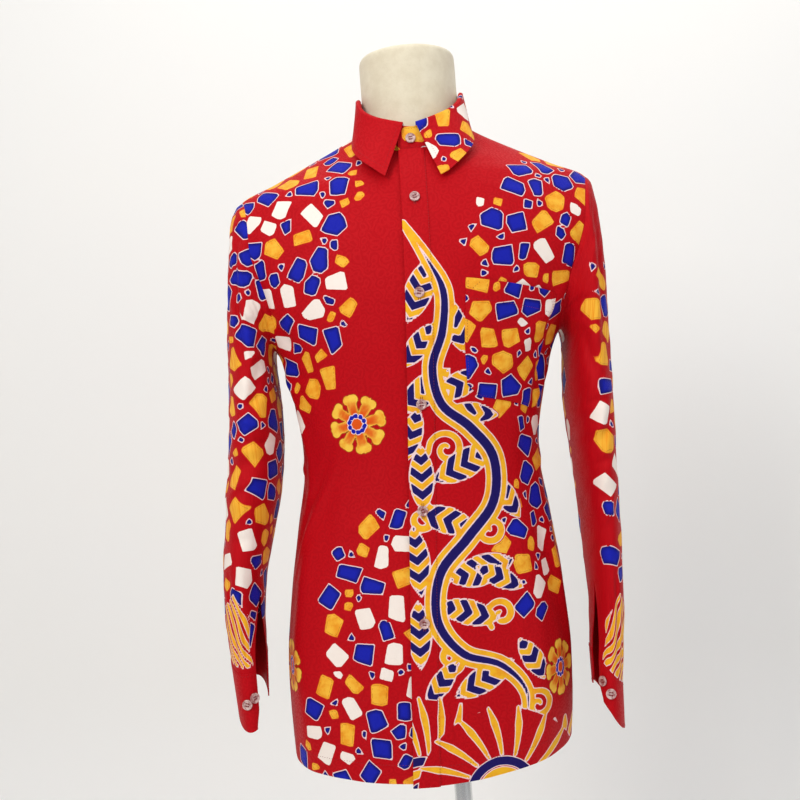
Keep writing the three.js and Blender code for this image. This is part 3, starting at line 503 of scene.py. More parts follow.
backCreases = [
    (0.7, 1180, 0.4, 1060, 14, 4),
    (-0.72, 1175, -0.45, 1050, 14, 3.5),
    (0.3, 1030, 0.42, 640, 22, 6.5),
    (-0.26, 1040, -0.34, 640, 22, 6),
    (0.02, 1000, 0.04, 640, 20, -5),
    (0.66, 950, 0.72, 660, 18, -4.5),
    (-0.62, 960, -0.68, 650, 18, -4.5),
    # finer ones, drawn one by one
    (0.9, 1120, 0.55, 1075, 6, -1.9),
    (0.92, 1095, 0.66, 1050, 5, 1.6),
    (-0.9, 1118, -0.6, 1070, 6, -1.9),
    (-0.93, 1090, -0.68, 1046, 5, 1.5),
    (0.62, 1230, 0.72, 1140, 6, -1.8),
    (-0.6, 1234, -0.72, 1140, 6, -1.8),
    (0.1, 1010, 0.5, 1000, 7, -1.3),
    (0.06, 985, 0.46, 965, 6, 1.1),
    (-0.08, 1004, -0.44, 990, 7, -1.2),
    (-0.1, 975, -0.5, 962, 6, 1.1),
    (0.95, 1005, 0.7, 985, 6, -1.7),
    (-0.95, 1000, -0.72, 982, 6, -1.7),
    (0.2, 1300, 0.5, 1262, 8, 1.2),
    (-0.18, 1305, -0.5, 1266, 8, 1.2),
    (0.14, 940, 0.2, 700, 9, 2.2),
    (-0.12, 930, -0.16, 680, 9, 2.0),
    (0.5, 900, 0.56, 690, 9, 2.0),
    (-0.48, 920, -0.54, 700, 9, 2.0),
    (0.84, 900, 0.88, 700, 8, 1.8),
    (-0.84, 905, -0.88, 690, 8, 1.8),
]


def deeper(height):  # the finer creases stand out a little more than they are listed
    return height * (body["fineDepth"] if abs(height) < 2.7 else 1)


bodyFolds = {
    face: [
        (q0 * body["quarterGirth"], z0, q1 * body["quarterGirth"], z1, width, deeper(height))
        for q0, z0, q1, z1, width, height in creases
    ]
    for face, creases in ((-1, frontCreases), (1, backCreases))
}


def ringPoint(face, q, z):
    pull = 1 - at(bodyRings, z, "pinch") * np.sin(q * np.pi) ** 2
    depth = at(bodyRings, z, "front" if face < 0 else "back")
    x = at(bodyRings, z, "half") * np.sin(q * quarterTurn) * pull
    return pointsOf(at(bodyRings, z, "drift") + x, face * depth * np.cos(q * quarterTurn) * pull, z)


def ringNormal(face, q, z):
    across = ringPoint(face, q + 0.004, z) - ringPoint(face, q - 0.004, z)
    up = ringPoint(face, q, z + 1) - ringPoint(face, q, z - 1)
    return unit(np.cross(across, up) * -face)


def bodyPoint(face, q, z, out=0.0):
    q, z = np.broadcast_arrays(np.asarray(q, float), np.asarray(z, float))
    girth = body["quarterGirth"]
    fromBand = smooth((np.abs(q) * girth - body["placketHalf"]) / 45) if face < 0 else 1
    fromSide = smooth((1 - np.abs(q)) * girth / 30)
    fromNeck = smooth((body["frontNeckZ"] - 20 - z) / 60)
    fold = foldHeight(bodyFolds[face], q * girth, z) * fromBand
    fold = fold + rumple(q * girth, z, 5 + face, (38, 51, 67, 83, 104, 131), 1.1) * (0.35 + 0.65 * fromBand)
    fold = fold * fromSide * fromNeck
    p = ringPoint(face, q, z) + ringNormal(face, q, z) * (fold + out)[..., None]
    p[..., 1] += face * body["seam"]
    return p


def besideButtons(distance, z):  # q at a distance across from the button line
    offset = at(bodyRings, z, "cf") - at(bodyRings, z, "drift") + distance
    return np.arcsin(offset / at(bodyRings, z, "half")) / quarterTurn


def qAtDepth(face, depth, z):  # q where the surface is so deep, found by halving
    low, high = np.zeros_like(z), np.ones_like(z)
    for _ in range(34):
        middle = (low + high) / 2
        deeper = np.abs(ringPoint(face, middle, z)[..., 1]) > depth
        low, high = np.where(deeper, middle, low), np.where(deeper, high, middle)
    return (low + high) / 2


def armholePlace(face, turn):
    z = mix(body["underarmZ"], body["shoulderTipZ"], (1 - np.cos(turn)) / 2)
    rise = np.maximum(np.sin(turn), 0)
    q = qAtDepth(face, body["armholeDepth"] * rise**0.85, z)
    return np.where(rise < 1e-9, 1.0, q), z


def sideEnd(face, v):
    start, end = body["armholeStart"], body["armholeEnd"]
    turn = np.pi * np.clip((v - start) / (end - start), 0, 1)
    q, z = armholePlace(face, turn)
    lowZ = mix(body["hemSideZ"], body["underarmZ"], v / start)
    highZ = mix(body["shoulderTipZ"], body["neckPointZ"], (v - end) / (1 - end))
    z = np.where(v <= start, lowZ, np.where(v >= end, highZ, z))
    return np.where((v <= start) | (v >= end), 1.0, q), z


def rowShares(side, armhole, shoulder):  # rows along the side seam, the armhole and the shoulder seam
    start, end = body["armholeStart"], body["armholeEnd"]
    return np.concatenate([
        np.linspace(0, start, side, endpoint=False),
        np.linspace(start, end, armhole, endpoint=False),
        np.linspace(end, 1, shoulder + 1),
    ])


def bandHeight(side, v):
    drop = body["overlapDrop"] * (1 - smooth(v / body["armholeStart"])) if side > 0 else 0
    return at(frontRise, v, "z") - drop


def liftAt(q):
    return body["frontLift"] * (1 - smooth((np.abs(q) - 0.14) / 0.45))


def frontPlace(side, across, v):
    endQ, endZ = sideEnd(-1, v)
    edgeZ = bandHeight(side, v)
    edgeQ = side * besideButtons(-side * body["placketHalf"], edgeZ)
    return side * mix(edgeQ, endQ, across), mix(edgeZ, endZ, smooth(across))


def frontPoint(side, across, v):
    q, z = frontPlace(side, across, v)
    return bodyPoint(-1, q, z, liftAt(q) if side > 0 else 0.0)


def backPlace(across, v):
    endQ, endZ = sideEnd(1, v)
    return across * endQ, mix(at(backRise, v, "z"), endZ, smooth(np.abs(across)))


def backPoint(across, v):
    return bodyPoint(1, *backPlace(across, v))


# Making a cloth piece
sheetSmoothAngle = 55


def flatten(points, anchor, level):
    # Lays a grid out flat: across the rows from the anchor column, and up the columns.
    steps = np.diff(points, axis=1)
    reach = np.hypot(steps[..., 0], steps[..., 1]) if level else np.linalg.norm(steps, axis=-1)
    u = np.concatenate([np.zeros((len(points), 1)), np.cumsum(reach, axis=1)], axis=1)
    u = u - u[:, anchor : anchor + 1]
    rise = np.linalg.norm(np.diff(points, axis=0), axis=-1) ** 2 - np.diff(u, axis=0) ** 2
    v = np.concatenate([np.zeros((1, points.shape[1])), np.cumsum(np.sqrt(np.maximum(rise, 0)), axis=0)])
    return np.stack([u, v + points[0, :, 2]], axis=-1)


def gridNormals(points):
    return unit(np.cross(np.gradient(points, axis=1), np.gradient(points, axis=0)))


def makeCloth(name, points, flat, core, wall, joined=None, fields=None, material=None):
    # points: rows by columns, the outer face. joined says which rows close on themselves.
    rows, columns = points.shape[:2]
    ids = np.arange(rows * columns).reshape(rows, columns)
    if joined is not None:
        ids[joined, -1] = ids[joined, 0]
    keep, inverse = np.unique(ids, return_inverse=True)
    inverse = inverse.reshape(rows, columns)
    corners, places = (
        np.stack([grid[:-1, :-1], grid[:-1, 1:], grid[1:, 1:], grid[1:, :-1]], axis=2)
        for grid in (inverse, flat)
    )
    corners, places = corners.reshape(-1, 4), places.reshape(-1, 4, 2)
    normals = gridNormals(points)
    if np.sum((points - core(points)) * normals) < 0:
        corners, places = corners[:, ::-1], places[:, ::-1]
    mesh = bpy.data.meshes.new(name)
    mesh.from_pydata((points.reshape(-1, 3)[keep] * mm).tolist(), [], corners.tolist())
    layer = mesh.uv_layers.new(name="flat")
    layer.uv.foreach_set("vector", (places.reshape(-1) * mm).astype(np.float32))
    for field, values in (fields or {}).items():
        held = mesh.attributes.new(field, "FLOAT", "POINT")
        held.data.foreach_set("value", values.reshape(-1)[keep].astype(np.float32))
    piece = bpy.data.objects.new("cloth_" + name, mesh)
    scene.collection.objects.link(piece)
    piece.data.materials.append(material or printedCotton)
    finishSheet(piece, wall)
    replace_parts(piece, name)
    return piece


def selectOnly(piece):
    bpy.ops.object.select_all(action="DESELECT")
    piece.select_set(True)
    bpy.context.view_layer.objects.active = piece


def finishSheet(piece, wall):
    selectOnly(piece)
    thick = piece.modifiers.new("wall", "SOLIDIFY")
    thick.thickness = wall * mm
    thick.offset = -1
    bpy.ops.object.modifier_apply(modifier="wall")
    bpy.ops.object.shade_smooth_by_angle(angle=math.radians(sheetSmoothAngle))
    bpy.ops.object.select_all(action="DESELECT")


def sheetArea(points):
    along = np.diff(points, axis=1)[:-1]
    up = np.diff(points, axis=0)[:, :-1]
    return float(np.linalg.norm(np.cross(along, up), axis=-1).sum()) * mm * mm


def bodyCore(points):
    return pointsOf(at(bodyRings, points[..., 2], "drift"), 0, points[..., 2])


# The drawn print
mosaic = {
    "sizes": [(16.0, 0.83, 900), (13.6, 0.83, 2200), (10.4, 0.86, 3000), (7.4, 0.9, 3200), (4.6, 0.94, 4200)],
    "gap": 2.5,  # half the red line between two tiles
    "shares": {"blue": 0.40, "yellow": 0.38, "white": 0.22},
}
nothing = -50.0
batch = 3000
forward = np.array([0.0, -1.0, 0.0])


def blankFields(shape):
    return {name: np.full(shape, nothing) for name in printFields}


def paint(fields, color, inside, margin=1.6):  # draws over what is there, with its outline's margin
    for name in fields:
        if name != color:
            fields[name] = np.minimum(fields[name], -(inside + margin))
    if color:
        fields[color] = np.maximum(fields[color], inside)


def insideShape(x, z, outline):
    found = np.zeros(np.shape(x), bool)
    for (x0, z0), (x1, z1) in zip(outline, outline[1:] + outline[:1]):
        crosses = (z0 > z) != (z1 > z)
        found ^= crosses & (x < (x1 - x0) * (z - z0) / (z1 - z0 if z1 != z0 else 1e-9) + x0)
    return found


def scatterTiles(points, seed):
    rng = np.random.default_rng(seed)
    centres, radii, picks = np.zeros((4000, 3)), np.zeros(4000), []
    for size, crowd, tries in mosaic["sizes"]:
        for k in rng.integers(0, len(points), tries):
            count = len(picks)
            far = np.linalg.norm(centres[:count] - points[k], axis=1)
            if count == 0 or np.all(far > (size + radii[:count]) * crowd + 0.6):
                centres[count], radii[count] = points[k], size
                picks.append(k)
    return np.array(picks), radii[: len(picks)], rng


def tilePlanes(radii, rng):
    # Each tile is cut by four or five straight lines, and the smallest by three.
    planes = np.zeros((len(radii), 5, 3))
    for i, radius in enumerate(radii):
        turn = rng.uniform(0, 2 * math.pi)
        sides = 3 if radius < 5 else (5 if rng.random() < 0.16 else 4)
        long = 1.05 + 0.3 * rng.random()
        for k in range(5):
            angle = turn + (k % sides) * 2 * math.pi / sides + rng.normal(0, 0.15 if sides > 3 else 0.1)
            stretch = long if k % 2 == 0 else 1 / long
            if sides == 3:
                reach = 0.6 * radius
            else:
                reach = radius * (0.68 if sides == 4 else 0.76) * stretch * rng.uniform(0.86, 1.1)
            planes[i, k] = math.cos(angle), math.sin(angle), reach
    return planes


def printedFields(points, outward, seed, allowed):
    # The normals are turned to the side that outward points to.
    normals = gridNormals(points)
    if (normals * outward).sum() < 0:
        normals = -normals
    fields = blankFields(points.shape[:-1])
    drawMosaic(fields, points, normals, seed, allowed)
    return fields, normals


def drawMosaic(fields, points, normals, seed, allowed):
    shape = points.shape[:-1]
    places, facing = points.reshape(-1, 3), normals.reshape(-1, 3)
    picks, radii, rng = scatterTiles(places, seed)
    planes = tilePlanes(radii, rng)
    names = list(mosaic["shares"])
    colors = rng.choice(len(names), len(picks), p=list(mosaic["shares"].values()))
    colors[radii < 5] = 0
    colors[(radii < 7) & (colors == 2)] = 1
    colors[~allowed(places[picks])] = -1
    centres = places[picks]
    up = unit(np.array([0.0, 0.0, 1.0]) - facing[picks] * facing[picks][:, 2:3])
    right = np.cross(up, facing[picks])
    apart = np.linalg.norm(centres[:, None] - centres[None], axis=-1)
    np.fill_diagonal(apart, 1e9)
    found = {name: np.full(len(places), nothing) for name in names}
    for start in range(0, len(places), batch):
        part = places[start : start + batch]
        power = ((part[:, None] - centres[None]) ** 2).sum(-1) - radii[None] ** 2
        near = power.argmin(1)
        own = power[np.arange(len(part)), near]
        edge = (power - own[:, None]) / (2 * apart[near])
        edge[np.arange(len(part)), near] = 1e9
        offset = part - centres[near]
        x, y = (offset * right[near]).sum(-1), (offset * up[near]).sum(-1)
        cuts = planes[near, :, 2] - x[:, None] * planes[near, :, 0] - y[:, None] * planes[near, :, 1]
        inside = np.minimum(edge.min(1) - mosaic["gap"], cuts.min(1))
        for i, name in enumerate(names):
            mine = np.clip(inside, nothing, 30)
            found[name][start : start + batch] = np.where(colors[near] == i, mine, nothing)
    for name in names:
        fields[name] = np.maximum(fields[name], found[name].reshape(shape))


def strokeShape(x, z, line, widths):  # a tapering brush line through points
    line = np.array(line, float)
    knots = np.concatenate([[2 * line[0] - line[1]], line, [2 * line[-1] - line[-2]]])
    t = np.linspace(0, 1, 9)[:-1, None]
    path = [
        0.5 * (2 * b + (c - a) * t + (2 * a - 5 * b + 4 * c - d) * t**2 + (3 * b - a - 3 * c + d) * t**3)
        for a, b, c, d in zip(knots, knots[1:], knots[2:], knots[3:])
    ]
    path = np.concatenate(path + [line[-1:]])
    thick = np.interp(np.linspace(0, 1, len(path)), np.linspace(0, 1, len(widths)), widths)
    found = np.full(np.shape(x), nothing)
    for (x0, z0), (x1, z1), w0, w1 in zip(path, path[1:], thick, thick[1:]):
        ax, az = x1 - x0, z1 - z0
        share = np.clip(((x - x0) * ax + (z - z0) * az) / max(ax * ax + az * az, 1e-9), 0, 1)
        found = np.maximum(found, mix(w0, w1, share) - np.hypot(x - x0 - share * ax, z - z0 - share * az))
    return found


def leafShape(x, z, centreX, centreZ, angle, length, width):
    c, s = math.cos(math.radians(angle)), math.sin(math.radians(angle))
    along, across = (x - centreX) * c + (z - centreZ) * s, (z - centreZ) * c - (x - centreX) * s
    radius = (length**2 + width**2) / (4 * width)
    offset = radius - width / 2
    far = np.maximum(np.hypot(along, across - offset), np.hypot(along, across + offset))
    return radius - far, along, across


def voluteLine(centreX, centreZ, first, last, turns, startAngle):
    t = np.linspace(0, 1, 14)
    angle = math.radians(startAngle) + t * turns * 2 * math.pi
    radius = mix(first, last, t)
    return list(zip(centreX + radius * np.cos(angle), centreZ + radius * np.sin(angle)))


def drawFlower(fields, points, normals, centre, radius, turn):
    # Eight petals with two-lobed tips round a ring of beads.
    flatPoints = points.reshape(-1, 3)
    k = int(np.argmin(((flatPoints - np.array(centre)) ** 2).sum(-1)))
    facing = normals.reshape(-1, 3)[k]
    up = unit(np.array([0.0, 0.0, 1.0]) - facing * facing[2])
    right = np.cross(up, facing)
    offset = points - flatPoints[k]
    x, y = offset @ right, offset @ up
    away = np.hypot(x, y) + np.abs(offset @ facing) * 0.6
    petals, veins, beads = (np.full(x.shape, nothing) for _ in range(3))
    for i in range(8):
        angle = math.radians(turn + i * 45)
        c, s = math.cos(angle), math.sin(angle)
        along, across = x * c + y * s, y * c - x * s
        stem, _, _ = leafShape(along, across, 0.58 * radius, 0, 0, 0.84 * radius, 0.33 * radius)
        for sideways in (-1, 1):
            lobe = 0.155 * radius - np.hypot(along - 0.82 * radius, across - sideways * 0.115 * radius)
            stem = np.maximum(stem, lobe)
        petals = np.maximum(petals, stem)
        for spread in (-0.08, 0.0, 0.08):
            line = [(0.3 * radius, spread * 0.4 * radius), (0.66 * radius, spread * radius)]
            vein = strokeShape(along, across, line, [2.4, 0.1])
            veins = np.maximum(veins, vein)
    for i in range(10):
        angle = math.radians(turn + 12 + i * 36)
        beadX, beadY = 0.27 * radius * math.cos(angle), 0.27 * radius * math.sin(angle)
        bead = 0.078 * radius - np.hypot(x - beadX, y - beadY)
        beads = np.maximum(beads, bead)
    close = away < 1.35 * radius
    for name, shape in (("petal", petals), ("core", np.maximum(veins, 0.4 * radius - away))):
        fields[name] = np.where(close, np.maximum(fields[name], shape), fields[name])
    for name in ("blue", "yellow", "white", "navy", "gold"):
        fields[name] = np.where(close, np.minimum(fields[name], -(petals + 3.2)), fields[name])
    fields["blue"] = np.where(close, np.maximum(fields["blue"], beads), fields["blue"])


# The free drawing on the left front: a winding stem with striped leaves, volutes and a fan at the hem.
drawing = {
    "stem": [(-21, 1244), (0, 1206), (17, 1166), (13, 1122), (-1, 1083), (6, 1042), (36, 1014), (60, 978),
             (56, 930), (24, 893), (-10, 856), (-17, 806), (8, 768), (50, 750), (76, 716), (70, 668)],
    "stemWidths": [-3, 0.5, 3.6, 4.2, 4.4, 4.6, 5.0, 5.2, 5.2, 5.2, 5.0, 4.6, 4.0, 3.0, 1.4, -2],
    "leaves": [  # middle, angle, length, width
        (-9, 1168, 246, 76, 30),
        (27, 1128, 290, 74, 26),
        (-14, 1108, 230, 60, 24),
        (-12, 1058, 216, 74, 31),
        (28, 1062, 24, 62, 27),
        (40, 1030, 350, 58, 22),
        (26, 974, 205, 78, 32),
        (-30, 1010, 250, 62, 24),
        (-22, 962, 268, 74, 27),
        (70, 934, 300, 60, 24),
        (2, 914, 158, 70, 29),
        (-34, 872, 272, 78, 27),
        (36, 856, 12, 76, 33),
        (18, 812, 342, 72, 27),
        (56, 846, 330, 58, 22),
        (-38, 792, 268, 74, 26),
        (30, 738, 206, 76, 29),
        (86, 752, 300, 58, 23),
        (-18, 738, 230, 58, 22),
    ],
    "border": 6.5,
    "volutes": [  # middle, first and last radius, turns, start
        (8, 992, 3, 21, 1.35, 60),
        (52, 900, 3, 20, -1.35, 200),
        (-26, 918, 3, 17, 1.2, 20),
        (54, 806, 3, 18, 1.3, 120),
        (-6, 764, 3, 17, -1.25, 340),
        (88, 700, 3, 17, 1.2, 30),
    ],
    "fans": [  # middle, reach, angles
        (-46, 614, 88, 12, 98), (104, 622, 44, 40, 150), (40, 610, 76, 18, 162),
    ],
}


def drawFreely(fields, x, z):
    for centreX, centreZ, first, last, turns, start in drawing["volutes"]:
        line = voluteLine(centreX, centreZ, first, last, turns, start)
        paint(fields, "gold", strokeShape(x, z, line, [1.7, 3.6, 2.6]))
    for centreX, centreZ, angle, length, width in drawing["leaves"]:
        leaf, along, across = leafShape(x, z, centreX, centreZ, angle, length, width)
        paint(fields, "gold", leaf)
        wave = np.abs(((along + 0.8 * np.abs(across)) / 19) % 1 - 0.5)
        stripe = np.minimum((wave - 0.25) * 19, leaf - 1.0)
        paint(fields, "navy", stripe, 1.3)
    stem = strokeShape(x, z, drawing["stem"], drawing["stemWidths"])
    paint(fields, "gold", stem + drawing["border"], 1.3)
    paint(fields, "navy", stem, 1.3)
    for centreX, centreZ, reach, low, high in drawing["fans"]:
        away = np.hypot(x - centreX, z - centreZ)
        paint(fields, None, 1.22 * reach - away)
        for i in range(8):
            angle = math.radians(mix(low, high, i / 7))
            bend = angle + 0.22
            line = []
            for r in np.linspace(0.55 * reach, 1.25 * reach, 5):
                turn = mix(angle, bend, r / reach)
                line.append((centreX + r * math.cos(turn), centreZ + r * math.sin(turn)))
            paint(fields, "gold", strokeShape(x, z, line, [1.4, 2.6, 3.6, 1.2]))
        paint(fields, None, 0.52 * reach - away)
        for radius, half, color in ((0.46, 4.6, "navy"), (0.31, 4.0, "gold"), (0.16, 3.2, "navy")):
            paint(fields, color, half - np.abs(away - radius * reach))
        paint(fields, "gold", 0.075 * reach - away)


print("print functions ready")

# Fronts
frontSettings = {
    "left": {"side": 1, "rows": (226, 92, 58), "columns": 117, "seed": 11},
    "right": {"side": -1, "rows": (200, 82, 52), "columns": 104, "seed": 23},
}
rightUpper = [
    (-320, 1420), (-88, 1375), (-50, 1316), (-62, 1285), (-75, 1259), (-82, 1213), (-83, 1157),
    (-87, 1130), (-98, 1104), (-114, 1077), (-127, 1067), (-143, 1044), (-160, 994), (-164, 967),
    (-172, 949), (-186, 880), (-190, 780), (-320, 780),
]
rightLower = [
    (40, 938), (-50, 936), (-72, 930), (-92, 918), (-112, 906), (-128, 884), (-137, 860), (-147, 833),
    (-147, 808), (-142, 792), (-154, 755), (-160, 716), (-174, 698), (-184, 647), (-184, 560), (40, 560),
]
leftOuter = [
    (122, 1330), (92, 1288), (62, 1266), (47, 1246), (36, 1225), (35, 1208), (45, 1191), (48, 1100),
    (46, 1040), (84, 1018), (98, 990), (68, 936), (54, 905), (48, 852), (68, 828), (80, 786), (94, 772),
    (122, 806), (136, 838), (150, 640), (320, 640), (320, 1420),
]
flowers = {
    "right": [(-88, -95, 1026, 34, 10), (-176, -42, 752, 31, 30)],
    "left": [(115, -62, 732, 32, 0)],
    "back": [(-36, 95, 1010, 33, 5), (44, 98, 800, 34, 20), (-60, 95, 700, 32, 12)],
}


def frontAllowed(side):
    def allowed(places):
        x, z = places[:, 0], places[:, 2]
        if side > 0:
            return insideShape(x, z, leftOuter)
        return insideShape(x, z, rightUpper) | insideShape(x, z, rightLower)
    return allowed


def makeFront(name, settings):
    side = settings["side"]
    v = rowShares(*settings["rows"])[:, None]
    across = np.linspace(0, 1, settings["columns"] + 1)[None]
    points = frontPoint(side, across, v)
    flat = flatten(points, 0, True) * np.array([side, 1.0])
    fields, normals = printedFields(points, forward, settings["seed"], frontAllowed(side))
    if side > 0:
        drawFreely(fields, points[..., 0], points[..., 2])
    for x, y, z, radius, turn in flowers[name]:
        drawFlower(fields, points, normals, (x, y, z), radius, turn)
    piece = makeCloth("front_" + name, points, flat, bodyCore, body["wall"], fields=fields)
    return piece, points


leftFront, leftPoints = makeFront("left", frontSettings["left"])
rightFront, rightPoints = makeFront("right", frontSettings["right"])
print("fronts made, flat areas", round(sheetArea(leftPoints), 4), round(sheetArea(rightPoints), 4))

# Back
backSettings = {"rows": (138, 58, 40), "columns": 70, "seed": 37}


def backAllowed(places):
    x, z = places[:, 0], places[:, 2]
    swath = np.abs(x + 4 - 46 * np.sin((z - 640) / 150)) < 44
    return ~(swath & (z < 1090))


def makeBack(settings):
    v = rowShares(*settings["rows"])[:, None]
    across = np.linspace(-1, 1, 2 * settings["columns"] + 1)[None]
    points = backPoint(across, v)
    fields, normals = printedFields(points, -forward, settings["seed"], backAllowed)
    for x, y, z, radius, turn in flowers["back"]:
        drawFlower(fields, points, normals, (x, y, z), radius, turn)
    flat = flatten(points, settings["columns"], True)
    piece = makeCloth("back", points, flat, bodyCore, body["wall"], fields=fields)
    return piece, points


back, backPoints = makeBack(backSettings)
print("back made, flat area", round(sheetArea(backPoints), 4))

# Button band
band = {"out": 1.6, "inset": 0.3, "rows": (216, 84, 34), "columns": 20, "wall": 0.5, "edge": 0.55}


def makeBand(settings):
    v = rowShares(*settings["rows"])[:, None]
    z = bandHeight(1, v)
    reach = body["placketHalf"] - settings["inset"]
    across = np.linspace(-reach, reach, settings["columns"] + 1)
    # The band's left edge folds round under itself; its right edge is stitched down flat.
    turned = [(-reach - 0.25, -1.1), (-reach - 0.55, 0.0), (-reach - 0.45, 1.0)]
    places = np.array([t[0] for t in turned] + list(across))[None]
    drop = (settings["out"] - settings["edge"]) * smooth((across - reach + 2.4) / 2.4)
    heights = np.array([t[1] for t in turned] + list(settings["out"] - drop))[None]
    points = bodyPoint(-1, besideButtons(places, z), z + 0 * places, body["frontLift"] + heights + 0 * z)
    flat = flatten(points, 3, True)
    flat[..., 0] -= 0.3
    fields = blankFields(points.shape[:-1])
    drawFreely(fields, points[..., 0], points[..., 2])
    piece = makeCloth("button_band", points, flat, bodyCore, settings["wall"], fields=fields)
    return piece, points


buttonBand, bandPoints = makeBand(band)

# Chest pocket
pocket = {
    "innerTop": 36, "widthTop": 97, "innerBottom": 50, "widthBottom": 124, "top": 1178, "height": 131,
    "drop": 20, "corner": 14, "stand": 1.7, "seam": 0.75, "steps": (62, 60), "wall": 0.65, "seed": 41,
}


def pocketPoint(across, down, stand):
    share = down / pocket["height"]
    cut = np.maximum(0, down - (pocket["height"] - pocket["corner"])) * (1 - 2 * across)
    width = mix(pocket["widthTop"], pocket["widthBottom"], share)
    inner = mix(pocket["innerTop"], pocket["innerBottom"], share)
    q = (inner + width * across + cut) / body["quarterGirth"]
    return bodyPoint(-1, q, pocket["top"] - down - pocket["drop"] * across, liftAt(q) + stand)


def makePocket(settings):
    rows, columns = settings["steps"]
    down = np.linspace(settings["height"], 0, rows + 1)[:, None]
    across = np.linspace(0, 1, columns + 1)[None]
    fromEdge = np.minimum(np.minimum(across, 1 - across) * 110, settings["height"] - down)
    loose = smooth(fromEdge / 7) * (0.75 + 0.25 * np.sin(across * 9 + down * 0.05))
    mouth = 1.3 * smooth(1 - down / 20) * np.sin(np.pi * across)
    stand = settings["seam"] + settings["stand"] * loose + mouth
    points = pocketPoint(across, down, stand)
    fields, _ = printedFields(points, forward, settings["seed"], lambda places: places[:, 0] > 0)
    flat = flatten(points, 0, True)
    piece = makeCloth("chest_pocket", points, flat, bodyCore, settings["wall"], fields=fields)
    return piece, points


chestPocket, pocketPoints = makePocket(pocket)
print("band and pocket made, flat areas", round(sheetArea(bandPoints), 4), round(sheetArea(pocketPoints), 4))

# Collar stand and collar
standRise = makeTable(
    "angle up lean",
    [(0, 26, -3.5), (25, 31, -4), (50, 35, -4), (90, 34.5, -2.6), (140, 36, 0), (180, 37, 0.5)],
)
collarEdge = makeTable(
    "angle out down",
    [
        (0, 26, 63), (10, 25, 59), (20, 24, 52), (33, 20, 46), (45, 16, 43), (60, 12, 41), (90, 8.5, 34),
        (120, 9, 35), (180, 12, 44),
    ],
)
collar = {
    "fronts": 58, "back": 52, "columns": 190, "wall": 1.3, "standWall": 1.5, "gap": 6.5, "point": 22,
    "seed": 53, "fall": 26,
    "fold": [  # out and up of each row over the fold
        (-2.0, -5.0), (-2.2, -1.5), (-2.1, 1.2), (-1.5, 3.1),
        (-0.3, 4.25), (1.2, 4.4), (2.9, 3.8), (4.2, 2.4),
    ],
}


def neckline(fronts, backs):
    across = np.linspace(0, 1, fronts + 1)
    right = frontPoint(-1, across, np.ones_like(across))
    middle = backPoint(np.linspace(-1, 1, 2 * backs + 1)[1:-1], np.ones(2 * backs - 1))
    left = frontPoint(1, across[::-1], np.ones_like(across))
    return np.concatenate([right, middle, left])


def neckAngle(points):
    return np.degrees(np.abs(np.arctan2(points[..., 0], -points[..., 1])))


def neckOut(points):
    return unit(points * np.array([1.0, 1.0, 0.0]))


def standPoint(points, share):
    angle = neckAngle(points)
    up = 0.1 + share * at(standRise, angle, "up")
    moved = points + neckOut(points) * (share * at(standRise, angle, "lean"))[..., None]
    moved[..., 2] += up
    return moved


def lengthsAlong(line):
    return np.concatenate([[0], np.cumsum(np.linalg.norm(np.diff(line, axis=0), axis=1))])


def alongLine(line, share):
    lengths = lengthsAlong(line)
    reached = np.asarray(share) * lengths[-1]
    return np.stack([np.interp(reached, lengths, line[:, k]) for k in range(3)], axis=-1)


def neckCore(points):
    return points * np.array([0.0, 0.0, 1.0]) - np.array([0.0, 0.0, 12.0])


def frontSide(top):
    return np.sign(top[..., 0] - at(bodyRings, body["frontNeckZ"], "cf"))


def lapClearance(top):
    clear = body["frontLift"] * (1 - smooth((neckAngle(top) - 20) / 25))
    return np.where(frontSide(top) < 0, clear, 0)


def collarPlace(top, out, down, aside):
    moved = top + neckOut(top) * out[..., None]
    moved[..., 0] += aside
    moved[..., 2] += down
    return moved


def fallPoint(top, share):
    angle, side = neckAngle(top), frontSide(top)
    startOut, startUp = collar["fold"][-1]
    out = mix(startOut, at(collarEdge, angle, "out"), share**1.5) + lapClearance(top)
    roll = 1.1 * np.sin(np.pi * share) * smooth(angle / 25) + 0.5 * np.sin(angle * 0.13 + share * 2) * share
    aside = side * collar["point"] * share * (1 - smooth(angle / 75))
    return collarPlace(top, out + roll, mix(startUp, -at(collarEdge, angle, "down"), share), aside)


def makeStand(settings):
    line = neckline(settings["fronts"], settings["back"])
    rows = np.stack([standPoint(line, share) for share in np.linspace(0, 1, 15)])
    fields, _ = printedFields(rows, neckOut(rows), settings["seed"] + 1, lambda places: places[:, 2] > 0)
    flat = flatten(rows, len(line) // 2, True)
    piece = makeCloth("collar_stand", rows, flat, neckCore, settings["standWall"], fields=fields)
    return piece, rows


def makeCollar(settings):
    topEdge = standPoint(neckline(settings["fronts"], settings["back"]), 1.0)
    start = (body["placketHalf"] + settings["gap"]) / lengthsAlong(topEdge)[-1]
    line = alongLine(topEdge, np.linspace(start, 1 - start, settings["columns"] + 1))
    rows = []
    for out, up in settings["fold"]:
        clear = lapClearance(line) if out > 0 else 0 * line[..., 0]
        rows.append(collarPlace(line, out + clear, up, 0))
    rows += [fallPoint(line, share) for share in np.linspace(0, 1, settings["fall"] + 1)[1:]]
    points = np.stack(rows)
    outward = neckOut(points)
    outward[:12] = 0  # the fold turns over, so only the fall says which side is out
    fields, _ = printedFields(points, outward, settings["seed"], lambda places: places[:, 0] > 2)
    flat = flatten(points, settings["columns"] // 2, True)
    piece = makeCloth("collar", points, flat, neckCore, settings["wall"], fields=fields)
    return piece, points


collarStand, standPoints = makeStand(collar)
collarLeaf, collarPoints = makeCollar(collar)
print("collar made, flat areas", round(sheetArea(standPoints), 4), round(sheetArea(collarPoints), 4))

